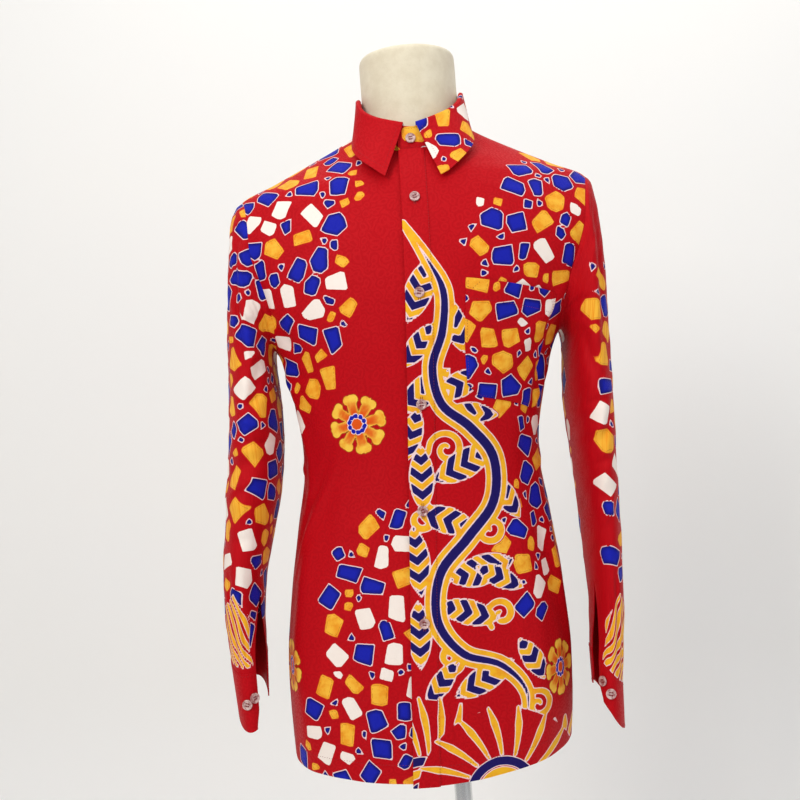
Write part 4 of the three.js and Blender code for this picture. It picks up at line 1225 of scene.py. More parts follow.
# Sleeves and cuffs
sleeveColumnsText = "w inX inZ outX outZ y deep skew tilt"
sleeveSettings = {
    "left": {
        "side": 1,
        "seed": 61,
        "rings": makeTable(sleeveColumnsText, [
            (0, 152.6, 1112, 203.4, 1299, 0, 64, 0, 0),
            (0.06, 156, 1118, 208.5, 1290, 0, 66, 0, 0),
            (0.12, 159, 1117, 212, 1271, 0, 69, 0, 0),
            (0.19, 161, 1108, 213, 1243, 0, 73, 0, 0),
            (0.27, 161, 1090, 213, 1208, 0, 76, 0, 0),
            (0.35, 159, 1066, 212.5, 1166, -1, 78, 0, 0),
            (0.43, 157, 1038, 212, 1120, -3, 77, 0, 0),
            (0.51, 157.5, 1008, 212, 1072, -6, 76, 0, 0),
            (0.59, 159.6, 974, 211, 1022, -9, 74, 0, 0),
            (0.67, 161.8, 934, 208.5, 970, -14, 71, 0, 0),
            (0.75, 163, 888, 206.5, 914, -19, 68, 0, 0),
            (0.83, 164, 842, 204, 852, -26, 64, 1, 0),
            (0.91, 163.5, 795, 200.5, 782, -33, 59, 2, 0),
            (1, 159, 747, 192, 704, -40, 52, 3, 0),
        ]),
        "cuffEnd": {
            "inX": 158, "inZ": 707, "outX": 189.5, "outZ": 656, "y": -46, "deep": 50, "skew": 4, "tilt": 0,
        },
        "gapDegrees": 15,
        "creases": [  # turn and share of the length where each starts and ends, width, height
            (130, 0.08, 118, 0.42, 13, -6),
            (152, 0.1, 146, 0.5, 12, 3),
            (60, 0.3, 95, 0.48, 12, -5),
            (70, 0.62, 150, 0.56, 11, -5),
            (60, 0.7, 140, 0.74, 11, -4.5),
            (225, 0.15, 240, 0.55, 14, -5),
            (215, 0.66, 290, 0.6, 12, 4),
            (100, 0.84, 112, 1, 9, -4.5),
            # finer ones, drawn one by one
            (40, 0.1, 85, 0.26, 6, -1.9),
            (35, 0.15, 74, 0.32, 5, 1.6),
            (62, 0.5, 120, 0.55, 6, -2.2),
            (50, 0.56, 116, 0.6, 5, 2.0),
            (58, 0.64, 128, 0.66, 6, -2.4),
            (64, 0.76, 120, 0.72, 5, 1.9),
            (80, 0.8, 140, 0.86, 6, -1.9),
            (150, 0.3, 165, 0.46, 6, 1.5),
            (170, 0.58, 150, 0.7, 6, -1.6),
            (80, 0.88, 84, 1, 5, -2.2),
            (132, 0.9, 136, 1, 5, -2.0),
            (200, 0.88, 204, 1, 6, -2.4),
            (240, 0.3, 300, 0.36, 7, -2.0),
            (230, 0.46, 300, 0.5, 6, 1.8),
            (225, 0.56, 305, 0.54, 6, -2.2),
            (250, 0.7, 310, 0.74, 6, -2.0),
            (260, 0.88, 262, 1, 6, -2.2),
            (320, 0.2, 330, 0.5, 8, -2.0),
        ],
    },
    "right": {
        "side": -1,
        "seed": 73,
        "rings": makeTable(sleeveColumnsText, [
            (0, 178.6, 1112, 209.4, 1299, 0, 64, 0, 0),
            (0.06, 182, 1118, 218, 1291, 0, 66, 0, 0),
            (0.12, 184, 1117, 225, 1273, 0, 69, 0, 0),
            (0.19, 185, 1108, 228, 1246, 0, 73, 0, 0),
            (0.27, 184, 1090, 231, 1210, 0, 76, 0, 0),
            (0.35, 182, 1066, 234, 1170, -1, 78, 0, 0),
            (0.43, 181, 1040, 237, 1126, -3, 77, 0, 0),
            (0.51, 181.5, 1012, 240, 1080, -6, 76, 0, 0),
            (0.59, 184, 982, 243.5, 1034, -9, 74, 0, 0),
            (0.67, 189.5, 946, 247.5, 986, -14, 71, 0, 1),
            (0.75, 199.5, 906, 253, 934, -19, 68, 0, 3),
            (0.83, 210.5, 862, 259, 878, -26, 64, 0, 6),
            (0.91, 215.5, 817, 261, 823, -33, 59, 1, 9),
            (1, 216.5, 768, 257, 768, -40, 52, 2, 12),
        ]),
        "cuffEnd": {
            "inX": 218, "inZ": 716, "outX": 252, "outZ": 712, "y": -46, "deep": 49, "skew": 3, "tilt": 20,
        },
        "gapDegrees": 27,
        "creases": [
            (128, 0.06, 100, 0.4, 14, -7),
            (150, 0.12, 138, 0.46, 12, 3),
            (55, 0.28, 85, 0.5, 13, -6),
            (65, 0.6, 140, 0.66, 11, -5.5),
            (80, 0.7, 160, 0.72, 11, 4),
            (225, 0.12, 235, 0.5, 14, -5),
            (215, 0.58, 295, 0.66, 12, -4),
            (120, 0.84, 108, 1, 9, -4.5),
            # finer ones, drawn one by one
            (48, 0.12, 96, 0.3, 6, -2.4),
            (40, 0.2, 84, 0.38, 5, 2.0),
            (60, 0.42, 100, 0.5, 6, -2.4),
            (56, 0.5, 126, 0.56, 5, 2.0),
            (50, 0.54, 118, 0.6, 6, -2.2),
            (70, 0.64, 130, 0.7, 5, 2.0),
            (64, 0.76, 136, 0.78, 6, -2.2),
            (148, 0.34, 166, 0.5, 6, 1.6),
            (160, 0.6, 146, 0.72, 6, -1.7),
            (84, 0.88, 80, 1, 5, -2.2),
            (150, 0.9, 152, 1, 5, -2.0),
            (200, 0.88, 206, 1, 6, -2.4),
            (236, 0.28, 300, 0.34, 7, -2.0),
            (228, 0.44, 300, 0.5, 6, 1.9),
            (232, 0.52, 306, 0.58, 6, -2.2),
            (246, 0.74, 312, 0.72, 6, -2.0),
            (256, 0.88, 260, 1, 6, -2.2),
            (322, 0.18, 334, 0.48, 8, -2.2),
        ],
    },
}
sleeve = {
    "slitTurn": 30, "slitStart": 0.84, "rows": (176, 36), "columns": 148,
    "reach": 70, "length": 640, "wall": 0.7,
}
cuff = {"out": 0.85, "height": 50, "corner": 0.035, "rows": 24, "columns": 128, "wall": 1.4}


def ovalPoint(side, ring, turn):
    share, front = (1 - np.cos(turn)) / 2, np.sin(turn)
    x = side * (mix(ring["inX"], ring["outX"], share) - ring["skew"] * front)
    z = mix(ring["inZ"], ring["outZ"], share) - ring["tilt"] * front
    return pointsOf(x, ring["y"] - ring["deep"] * front, z)


def ovalMiddle(side, ring):
    return (ovalPoint(side, ring, 0.0) + ovalPoint(side, ring, math.pi)) / 2


def sleeveRing(settings, w):
    return {key: at(settings["rings"], w, key) for key in sleeveColumnsText.split()[1:]}


def armholePoint(side, turn, tuck):
    half = np.where(turn > math.pi, 2 * math.pi - turn, turn)
    found = np.zeros(np.broadcast(turn, tuck).shape + (3,))
    for face in (-1, 1):
        q, z = armholePlace(face, half)
        q, z, out = np.broadcast_arrays(side * q, z, tuck)
        mine = (np.sin(turn) >= 0) if face < 0 else (np.sin(turn) < 0)
        mine = np.broadcast_to(mine, q.shape)
        found[mine] = bodyPoint(face, q, z, out)[mine]
    found[..., 0] += side * 0.35
    return found


def sleeveFold(settings, turn, w):
    reach, length = sleeve["reach"], sleeve["length"]
    folds = [
        (math.radians(t0) * reach, w0 * length, math.radians(t1) * reach, w1 * length, width, deeper(height))
        for t0, w0, t1, w1, width, height in settings["creases"]
    ]
    fade = smooth(w / 0.08) * smooth((1 - w) / 0.05)
    waves = rumple(turn * reach, w * length, settings["seed"], (33, 46, 59, 74, 96), 1.3)
    waves = waves * smooth(turn * reach / 30) * smooth((2 * math.pi - turn) * reach / 30)
    return (foldHeight(folds, turn * reach, w * length) + waves) * fade


def sleevePoint(settings, share, w):
    side = settings["side"]
    parted = smooth((w - sleeve["slitStart"]) / (1 - sleeve["slitStart"]))
    opening = math.radians(settings["gapDegrees"]) * parted
    turn = math.radians(sleeve["slitTurn"]) + opening + (2 * math.pi - 2 * opening) * share
    turn = np.mod(turn, 2 * math.pi)
    ring = sleeveRing(settings, w)
    p = ovalPoint(side, ring, turn)
    settled = smooth(w / 0.3)
    first = ovalPoint(side, {key: settings["rings"][key][0] for key in ring}, turn)
    tuck = -0.85 * (1 - smooth(w / 0.025))
    p = p + (armholePoint(side, turn, tuck) - first) * (1 - settled)[..., None]
    out = unit(p - ovalMiddle(side, ring))
    return p + out * sleeveFold(settings, turn, w)[..., None], turn


def sleeveAllowed(side):
    def allowed(places):
        x, y, z = places[:, 0], places[:, 1], places[:, 2]
        if side < 0:
            return z > 800
        outer = (x > 188 + 0.1 * (y + 40)) | (y > -10)
        return outer & (z < 1196) & (z > 810)
    return allowed


def drawWaves(fields, w, turn, side):  # wavering stripes above the cuff
    degrees = np.degrees(turn)
    u, v = turn * sleeve["reach"], w * sleeve["length"]
    low, high = (0.9, 0.995) if side > 0 else (0.87, 0.985)
    first, last = (62, 170) if side > 0 else (66, 144)
    facing = np.minimum(degrees - first, last - degrees) * 1.2 + 4 * np.sin(v / 9)
    above = v - low * sleeve["length"] + 0.5 * np.clip(facing, 0, 60) - 14
    window = np.minimum(np.minimum(above, high * sleeve["length"] - v), facing)
    phase = (0.62 * u + 0.78 * v + 4.5 * np.sin(v / 11.0) + 1.6 * np.sin(u / 6.1)) / 14
    stripe = (0.27 - np.abs(phase % 1 - 0.5)) * 14
    paint(fields, None, window)
    paint(fields, "gold", np.minimum(stripe, window), 0.8)


def makeSleeve(name, settings):
    side = settings["side"]
    long, short = sleeve["rows"]
    start = sleeve["slitStart"]
    w = np.concatenate([np.linspace(0, start, long), np.linspace(start, 1, short + 1)[1:]])
    w, share = np.broadcast_arrays(w[:, None], np.linspace(0, 1, sleeve["columns"] + 1)[None])
    points, turn = sleevePoint(settings, share, w)
    flat = flatten(points, sleeve["columns"] // 2, False)
    middles = ovalMiddle(side, sleeveRing(settings, w))
    fields, _ = printedFields(points, points - middles, settings["seed"], sleeveAllowed(side))
    drawWaves(fields, w, turn, side)
    joined = w[:, 0] <= start + 1e-9
    piece = makeCloth("sleeve_" + name, points, flat, lambda p: middles, sleeve["wall"], joined, fields)
    return piece, points


def cuffPoint(settings, share, down):
    opening = math.radians(settings["gapDegrees"])
    turn = math.radians(sleeve["slitTurn"]) + opening + (2 * math.pi - 2 * opening) * share
    turn = np.mod(turn, 2 * math.pi)
    ring = {key: mix(settings["rings"][key][-1], end, down) for key, end in settings["cuffEnd"].items()}
    p = ovalPoint(settings["side"], ring, turn)
    out = unit((p - ovalMiddle(settings["side"], ring)) * np.array([1.0, 1.0, 0.0]))
    return p + out * cuff["out"]


def makeCuff(name, settings):
    down = np.linspace(-0.035, 1, cuff["rows"] + 1)[:, None]
    inset = cuff["corner"] * smooth((down - 0.65) / 0.35)
    share = mix(inset, 1 - inset, np.linspace(0, 1, cuff["columns"] + 1)[None])
    share, down = np.broadcast_arrays(share, down)
    points = cuffPoint(settings, share, down)
    middle = ovalMiddle(settings["side"], settings["cuffEnd"])
    flat = flatten(points, cuff["columns"] // 2, False)

    def core(places):
        return pointsOf(middle[0], middle[1], places[..., 2])

    piece = makeCloth("cuff_" + name, points, flat, core, cuff["wall"], material=plainCotton)
    return piece, points


sleeves, cuffs = {}, {}
for sideName, sideSettings in sleeveSettings.items():
    sleeves[sideName] = makeSleeve(sideName, sideSettings)
    cuffs[sideName] = makeCuff(sideName, sideSettings)
    areas = [round(sheetArea(made[sideName][1]), 4) for made in (sleeves, cuffs)]
    print(sideName, "sleeve and cuff made, flat areas", *areas)

# Hand-modelling helpers
tools = bpy.context.tool_settings


def startPiece(name):
    piece = bpy.context.object
    piece.name = piece.data.name = name
    return piece


def enterEdit(piece, kind="FACE"):
    bpy.ops.object.mode_set(mode="EDIT")
    tools.mesh_select_mode = (kind == "VERT", kind == "EDGE", kind == "FACE")
    bpy.ops.mesh.select_all(action="DESELECT")
    return piece


def pick(piece, wanted, kind="faces"):
    mesh = bmesh.from_edit_mesh(piece.data)
    for part in getattr(mesh, kind):
        part.select_set(False)
    for part in getattr(mesh, kind):
        if wanted(part):
            part.select_set(True)
    bmesh.update_edit_mesh(piece.data)


def leaveEdit():
    bpy.ops.object.mode_set(mode="OBJECT")


def extrudeUp(height):  # in millimetres
    bpy.ops.mesh.extrude_region_move(TRANSFORM_OT_translate={"value": (0, 0, height * mm)})


def useModifier(piece, kind, **values):
    made = piece.modifiers.new("shape", kind)
    for key, value in values.items():
        setattr(made, key, value)
    selectOnly(piece)
    bpy.ops.object.modifier_apply(modifier="shape")


def settlePiece(piece, material, slot, angle=40):
    selectOnly(piece)
    bpy.ops.object.transform_apply(location=True, rotation=True, scale=True)
    bpy.ops.object.shade_smooth_by_angle(angle=math.radians(angle))
    piece.data.materials.clear()
    piece.data.materials.append(material)
    if slot:
        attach(piece, "root")
    bpy.ops.object.select_all(action="DESELECT")
    return piece


# Hard materials
linenSettings = {
    "threadTurn": 0.0572,  # the neck's radius in metres, so that a turn round it counts as its length
    "weave": {"Thread": 0.9, "Slub": 0.8},
    "light": (0.82, 0.75, 0.58),
    # light and dark: the crinkles' ridges and hollows; the dark is painted shade in the hollows
    "dark": (0.72, 0.64, 0.47),
    "stain": (0.68, 0.57, 0.37),
    "thread": (0.66, 0.58, 0.44),
    "stainShare": 0.35,
    "threadShare": 0.16,
}
pearlSettings = {
    "dark": (0.34, 0.13, 0.13),
    "light": (0.66, 0.46, 0.43),
    # rim: the dark red painted on the button where its surface turns away from the view, as painted shade
    "rim": (0.26, 0.05, 0.06),
    "edgeShadeShare": 0.7,
    "surface": {"Coat Weight": 0.5, "Coat Roughness": 0.08, "Specular IOR Level": 0.6},
}
platedSettings = {"dark": (0.70, 0.70, 0.69), "light": (0.80, 0.80, 0.79), "stretch": (1, 1, 0.04)}
wallColors = ((0.91, 0.90, 0.87), (0.89, 0.89, 0.88))


def makeLinen(settings):
    material, tree, surface = newMaterial("form_linen")
    coordinates = objectPlace(tree)
    # Thread directions round and up the form.
    split = tree.nodes.new("ShaderNodeSeparateXYZ")
    feed(tree, split.inputs[0], coordinates)
    angle = calc(tree, "ARCTAN2", split.outputs[1], split.outputs[0])
    turn = calc(tree, "MULTIPLY", angle, settings["threadTurn"])
    around = tree.nodes.new("ShaderNodeCombineXYZ")
    feed(tree, around.inputs[0], turn)
    feed(tree, around.inputs[1], split.outputs[2])
    weave = placeGroup(tree, weaveGroup, Vector=around.outputs[0], **settings["weave"])
    crinkleAndShade = noise(tree, coordinates, 42, 5, 0.62)
    stain = noise(tree, coordinates, 9, 3, 0.5)
    # Painted shade: the crinkles' hollows take the dark colour and their ridges the light one, from the same
    # noise that raises them in the bump.
    color = blendColors(tree, step(tree, crinkleAndShade, 0.35, 0.7), settings["dark"], settings["light"])
    stainShare = calc(tree, "MULTIPLY", step(tree, stain, 0.45, 0.75), settings["stainShare"])
    color = blendColors(tree, stainShare, color, settings["stain"])
    threadShare = calc(tree, "MULTIPLY", weave.outputs["Height"], settings["threadShare"])
    feed(tree, surface.inputs["Base Color"], blendColors(tree, threadShare, color, settings["thread"]))
    feed(tree, surface.inputs["Roughness"], calc(tree, "MULTIPLY_ADD", crinkleAndShade, 0.2, 0.72))
    surface.inputs["Sheen Weight"].default_value = 0.2
    relief = calc(tree, "MULTIPLY_ADD", crinkleAndShade, 3.0, calc(tree, "MULTIPLY", weave.outputs["Height"], 0.6))
    feed(tree, surface.inputs["Normal"], bump(tree, relief, 0.5, 0.0006))
    return material


def makePearl(settings):
    material, tree, surface = newMaterial("button_pearl")
    coordinates = objectPlace(tree)
    swirl = noise(tree, coordinates, 240, 3, 0.6)
    # Painted shade: the faces that turn away from the view are blended towards the dark red rim colour.
    shade = tree.nodes.new("ShaderNodeLayerWeight")
    shade.inputs["Blend"].default_value = 0.35
    color = blendColors(tree, step(tree, swirl, 0.38, 0.62), settings["dark"], settings["light"])
    edgeShadeShare = calc(tree, "MULTIPLY", shade.outputs["Facing"], settings["edgeShadeShare"])
    color = blendColors(tree, edgeShadeShare, color, settings["rim"])
    feed(tree, surface.inputs["Base Color"], color)
    feed(tree, surface.inputs["Roughness"], calc(tree, "MULTIPLY_ADD", swirl, 0.16, 0.12))
    setInputs(surface, settings["surface"])
    feed(tree, surface.inputs["Normal"], bump(tree, swirl, 0.15, 0.0002))
    return material


def makePlated(settings):
    material, tree, surface = newMaterial("stand_metal")
    coordinates = objectPlace(tree)
    stretched = tree.nodes.new("ShaderNodeMapping")
    feed(tree, stretched.inputs["Vector"], coordinates)
    stretched.inputs["Scale"].default_value = settings["stretch"]
    brushed = noise(tree, stretched.outputs[0], 700, 3, 0.6)
    smudge = noise(tree, coordinates, 26, 4, 0.6)
    color = blendColors(tree, smudge, settings["dark"], settings["light"])
    feed(tree, surface.inputs["Base Color"], color)
    surface.inputs["Metallic"].default_value = 1.0
    rough = calc(tree, "MULTIPLY_ADD", smudge, 0.16, 0.1)
    feed(tree, surface.inputs["Roughness"], calc(tree, "MULTIPLY_ADD", brushed, 0.08, rough))
    feed(tree, surface.inputs["Normal"], bump(tree, brushed, 0.08, 0.0001))
    return material


def makeThread(name, color, deep):
    material, tree, surface = newMaterial(name)
    coordinates = objectPlace(tree)
    twist = noise(tree, coordinates, 1500, 2)
    feed(tree, surface.inputs["Base Color"], blendColors(tree, twist, color, deep))
    feed(tree, surface.inputs["Roughness"], calc(tree, "MULTIPLY_ADD", twist, 0.2, 0.5))
    feed(tree, surface.inputs["Normal"], bump(tree, twist, 0.4, 0.0001))
    return material


def makeWallPaint():
    material, tree, surface = newMaterial("wall_paint")
    coordinates = objectPlace(tree)
    mottled = noise(tree, coordinates, 3, 3)
    color = blendColors(tree, mottled, *wallColors)
    feed(tree, surface.inputs["Base Color"], color)
    feed(tree, surface.inputs["Roughness"], calc(tree, "MULTIPLY_ADD", mottled, 0.1, 0.8))
    # Seen from behind, the wall is clear.
    clear = tree.nodes.new("ShaderNodeBsdfTransparent")
    either = tree.nodes.new("ShaderNodeMixShader")
    feed(tree, either.inputs[0], tree.nodes.new("ShaderNodeNewGeometry").outputs["Backfacing"])
    tree.links.new(surface.outputs[0], either.inputs[1])
    tree.links.new(clear.outputs[0], either.inputs[2])
    tree.links.new(either.outputs[0], tree.nodes["Material Output"].inputs["Surface"])
    return material


linen, pearl, plated = makeLinen(linenSettings), makePearl(pearlSettings), makePlated(platedSettings)
redThread = makeThread("red_thread", (0.30, 0.004, 0.012), (0.16, 0.002, 0.006))
wallPaint = makeWallPaint()
print("hard materials made")


# Backdrop
def makeBackdrop(settings):
    depth = settings["wallY"] - settings["nearY"]
    middle = (settings["wallY"] + settings["nearY"]) / 2
    bpy.ops.mesh.primitive_plane_add(size=1, location=(0, middle, 0))
    wall = enterEdit(startPiece("backdrop"), "EDGE")
    bpy.ops.mesh.select_all(action="SELECT")
    bpy.ops.transform.resize(value=(2 * settings["halfWidth"], depth, 1))
    bpy.ops.mesh.select_all(action="DESELECT")
    pick(wall, lambda edge: all(v.co.y > 0.4 * depth for v in edge.verts), "edges")
    bpy.ops.mesh.extrude_region_move(TRANSFORM_OT_translate={"value": (0, 0, settings["wallTop"])})
    pick(wall, lambda edge: all(v.co.y > 0.4 * depth and v.co.z < 0.1 for v in edge.verts), "edges")
    bpy.ops.mesh.bevel(offset=settings["cornerRadius"], segments=18)
    leaveEdit()
    settlePiece(wall, wallPaint, None)


makeBackdrop(stageSettings)
print("backdrop made")

# Dress form
form = {
    "columns": 64, "low": 702.0, "neckRadius": 57.2, "neckStart": 1374, "neckTop": 1460.0, "edge": 9.0,
    "shoulderPinch": 0.08,
    "heights": [
        706, 716, 735, 770, 810, 850, 890, 930, 975, 1010, 1050, 1090, 1130, 1170, 1200, 1225, 1245, 1262,
        1276, 1286, 1292, 1299, 1307, 1315, 1327, 1340, 1352, 1363, 1374, 1390, 1415, 1440, 1451, 1455, 1458,
    ],
    "plugRadius": 8.0, "plugHeight": 2.4, "plugPlace": (10, 26),
}
formRings = makeTable("z half front back", [
    (702, 118, 92, 90), (712, 128, 99, 99), (770, 131, 101, 103), (850, 124, 97, 97), (930, 110, 92, 84),
    (975, 107, 91, 80), (1035, 116, 97, 83), (1110, 138, 104, 91), (1170, 150, 104, 94), (1222, 168, 98, 94),
    (1262, 188, 87, 88), (1284, 194, 80.5, 83.5), (1299, 192.5, 78.6, 81.6), (1315, 160.5, 72, 76.7),
    (1340, 112, 61.6, 69.2), (1361, 69, 58.4, 61), (1374, 57.6, 57.3, 57.6),
])


def formPlace(turn, z, share):  # share is 1 on the skin and 0 on the upright middle
    if z > form["neckStart"]:
        fall = max(0.0, z - (form["neckTop"] - form["edge"])) / form["edge"]
        radius = form["neckRadius"] - form["edge"] * (1 - math.sqrt(max(0.0, 1 - fall * fall)))
        half = front = back = radius
        pull = 1.0
    else:
        half, front, back = (float(at(formRings, z, key)) for key in ("half", "front", "back"))
        pinch = form["shoulderPinch"] * float(smooth((z - 1290) / 35) * smooth((form["neckStart"] - z) / 30))
        pull = 1 - pinch * math.sin(2 * turn) ** 2
    depth = front if math.sin(turn) < 0 else back
    return Vector((half * math.cos(turn) * pull * share, depth * math.sin(turn) * pull * share, z)) * mm


def makeForm(settings):
    low, high = settings["low"], settings["neckTop"]
    bpy.ops.mesh.primitive_cylinder_add(
        vertices=settings["columns"], radius=1, depth=(high - low) * mm, end_fill_type="NGON",
        location=(0, 0, (low + high) / 2 * mm),
    )
    torso = startPiece("linen_form")
    bpy.ops.object.transform_apply(location=True, rotation=True, scale=True)
    enterEdit(torso)
    for z in settings["heights"]:
        bpy.ops.mesh.select_all(action="SELECT")
        bpy.ops.mesh.bisect(plane_co=(0, 0, z * mm), plane_no=(0, 0, 1))
    pick(torso, lambda face: abs(face.normal.z) > 0.9)
    bpy.ops.mesh.inset(thickness=0.55)
    bpy.ops.mesh.poke()
    mesh = bmesh.from_edit_mesh(torso.data)
    for vertex in mesh.verts:
        x, y, z = vertex.co
        share = min(1.0, math.hypot(x, y))
        vertex.co = formPlace(math.atan2(y, x), z / mm, share)
    bmesh.update_edit_mesh(torso.data)
    leaveEdit()
    useModifier(torso, "SUBSURF", levels=1, render_levels=1)
    settlePiece(torso, linen, "form_linen", 60)
    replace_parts(torso, "form")
    # The cover's gathered middle at the top of the neck.
    x, y = settings["plugPlace"]
    bpy.ops.mesh.primitive_cylinder_add(
        vertices=32, radius=settings["plugRadius"] * mm, depth=settings["plugHeight"] * mm,
        location=(x * mm, y * mm, (high + settings["plugHeight"] / 2 - 0.3) * mm),
    )
    plug = enterEdit(startPiece("neck_plug"))
    pick(plug, lambda face: face.normal.z > 0.9)
    bpy.ops.mesh.inset(thickness=2.5 * mm, depth=0.5 * mm)
    leaveEdit()
    useModifier(plug, "BEVEL", width=0.7 * mm, segments=3)
    settlePiece(plug, linen, "form_linen")


makeForm(form)
print("dress form made")

# Pole, socket and base
stand = {
    "poleRadius": 10.5, "poleLow": 11.3, "poleHigh": 701.7,
    "socketRadius": 19, "socketHeight": 46, "flange": 18,
    "flangeHeight": 5, "formBottom": 702, "baseRadius": 165, "rim": 6, "bossRadius": 24, "bossHeight": 30,
    "bossTaper": 0.88,
}


def addCylinder(vertices, radius, depth, place):  # all but the first in millimetres
    bpy.ops.mesh.primitive_cylinder_add(
        vertices=vertices, radius=radius * mm, depth=depth * mm, location=[c * mm for c in place]
    )


def makeStandPieces(settings):
    length = settings["poleHigh"] - settings["poleLow"]
    middle = (settings["poleHigh"] + settings["poleLow"]) / 2
    addCylinder(64, settings["poleRadius"], length, (0, 0, middle))
    pole = enterEdit(startPiece("stand_pole"))
    pick(pole, lambda face: abs(face.normal.z) > 0.9)
    bpy.ops.mesh.inset(thickness=1.2 * mm)
    leaveEdit()
    useModifier(pole, "BEVEL", width=0.5 * mm, segments=2, limit_method="ANGLE")
    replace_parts(settlePiece(pole, plated, "stand_metal"), "pole")

    top = settings["formBottom"] - 0.3
    plate = settings["flangeHeight"]
    addCylinder(64, settings["socketRadius"] + settings["flange"], plate, (0, 0, top - plate / 2))
    socket = enterEdit(startPiece("stand_socket"))
    pick(socket, lambda face: face.normal.z < -0.9)
    bpy.ops.mesh.inset(thickness=(settings["flange"] - 3) * mm)
    bpy.ops.mesh.inset(thickness=3 * mm, depth=3 * mm)
    extrudeUp(plate + 3 - settings["socketHeight"])
    wall = settings["socketRadius"] - settings["poleRadius"] - 0.6
    bpy.ops.mesh.inset(thickness=wall * mm, depth=-0.6 * mm)
    leaveEdit()
    useModifier(socket, "BEVEL", width=1.1 * mm, segments=3, limit_method="ANGLE")
    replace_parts(settlePiece(socket, plated, "stand_metal"), "form_socket")

    addCylinder(128, settings["baseRadius"], settings["rim"], (0, 0, settings["rim"] / 2))
    foot = enterEdit(startPiece("stand_base"))
    pick(foot, lambda face: face.normal.z > 0.9)
    bpy.ops.mesh.inset(thickness=8 * mm, depth=3 * mm)
    bpy.ops.mesh.inset(thickness=(settings["baseRadius"] - 8 - settings["bossRadius"] - 4) * mm, depth=2 * mm)
    bpy.ops.mesh.inset(thickness=4 * mm, depth=4 * mm)
    extrudeUp(settings["bossHeight"] - 4)
    taper = settings["bossTaper"]
    bpy.ops.transform.resize(value=(taper, taper, 1))
    bpy.ops.mesh.inset(thickness=(settings["bossRadius"] * taper - settings["poleRadius"] - 0.5) * mm)
    extrudeUp(-6)
    leaveEdit()
    useModifier(foot, "BEVEL", width=1.2 * mm, segments=3, limit_method="ANGLE")
    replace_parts(settlePiece(foot, plated, "stand_metal"), "base")


makeStandPieces(stand)
print("stand made")

# Buttons
button = {
    "radius": 5.8, "thickness": 2.3, "rim": 1.1, "dish": 0.65,
    "holeRadius": 0.78, "holeSpread": 1.45, "seat": 0.35,
    "frontHeights": [1272, 1165, 1044, 926, 804], "frontTwists": [8, -11, 4, 15, -6], "collarShare": 0.46,
    "cuffLength": 215, "cuffPlaces": [(0.045, 0.42, 12), (0.12, 0.5, -9)],  # across, down, twist
}


def modelButton(settings):
    thick = settings["thickness"] * mm
    addCylinder(40, settings["radius"], settings["thickness"], (0, 0, settings["thickness"] / 2))
    disc = startPiece("button_master")
    bpy.ops.object.transform_apply(location=True, rotation=True, scale=True)
    enterEdit(disc)
    pick(disc, lambda face: face.normal.z > 0.9)
    bpy.ops.mesh.inset(thickness=settings["rim"] * mm)
    bpy.ops.mesh.inset(thickness=0.9 * mm, depth=-settings["dish"] * mm)
    pick(disc, lambda face: face.normal.z < -0.9)
    bpy.ops.mesh.inset(thickness=1.6 * mm, depth=0)
    leaveEdit()
    useModifier(disc, "BEVEL", width=0.42 * mm, segments=3, limit_method="ANGLE")
    for x, y in ((1, 1), (-1, 1), (-1, -1), (1, -1)):
        reach = settings["holeSpread"] * mm
        bpy.ops.mesh.primitive_cylinder_add(
            vertices=14, radius=settings["holeRadius"] * mm, depth=3 * thick,
            location=(x * reach, y * reach, 0)
        )
        drill = bpy.context.object
        useModifier(disc, "BOOLEAN", operation="DIFFERENCE", object=drill, solver="EXACT")
        bpy.data.objects.remove(drill)
    return disc


def modelButtonThread(settings):
    # Two passes of thread between the holes, sunk at their ends.
    spread = settings["holeSpread"] * mm
    top = (settings["thickness"] - settings["dish"]) * mm
    bars = []
    for y in (-spread, spread):
        for offset in (-0.22, 0.22):
            bpy.ops.mesh.primitive_cylinder_add(
                vertices=8, radius=0.26 * mm, depth=2 * spread, rotation=(0, quarterTurn, 0),
                location=(0, y + offset * mm, top + 0.12 * mm),
            )
            bar = bpy.context.object
            bpy.ops.object.transform_apply(location=True, rotation=True, scale=True)
            enterEdit(bar)
            pick(bar, lambda face: abs(face.normal.x) > 0.9)
            extrudeUp(-0.9)
            leaveEdit()
            bars.append(bar)
    bpy.ops.object.select_all(action="DESELECT")
    for bar in bars:
        bar.select_set(True)
    bpy.context.view_layer.objects.active = bars[0]
    bpy.ops.object.join()
    return startPiece("thread_master")


def seatMatrix(pointAt, core, settings, twist):
    reach = settings["radius"] * 0.8
    seat = pointAt(0.0, 0.0)
    across, up = pointAt(reach, 0.0) - pointAt(-reach, 0.0), pointAt(0.0, reach) - pointAt(0.0, -reach)
    normal = Vector(np.cross(across, up)).normalized()
    if normal.dot(Vector(seat - core)) < 0:
        normal.negate()
    turn = normal.to_track_quat("Z", "Y").to_matrix().to_4x4() @ Matrix.Rotation(math.radians(twist), 4, "Z")
    return Matrix.Translation((Vector(seat) + normal * settings["seat"]) * mm) @ turn


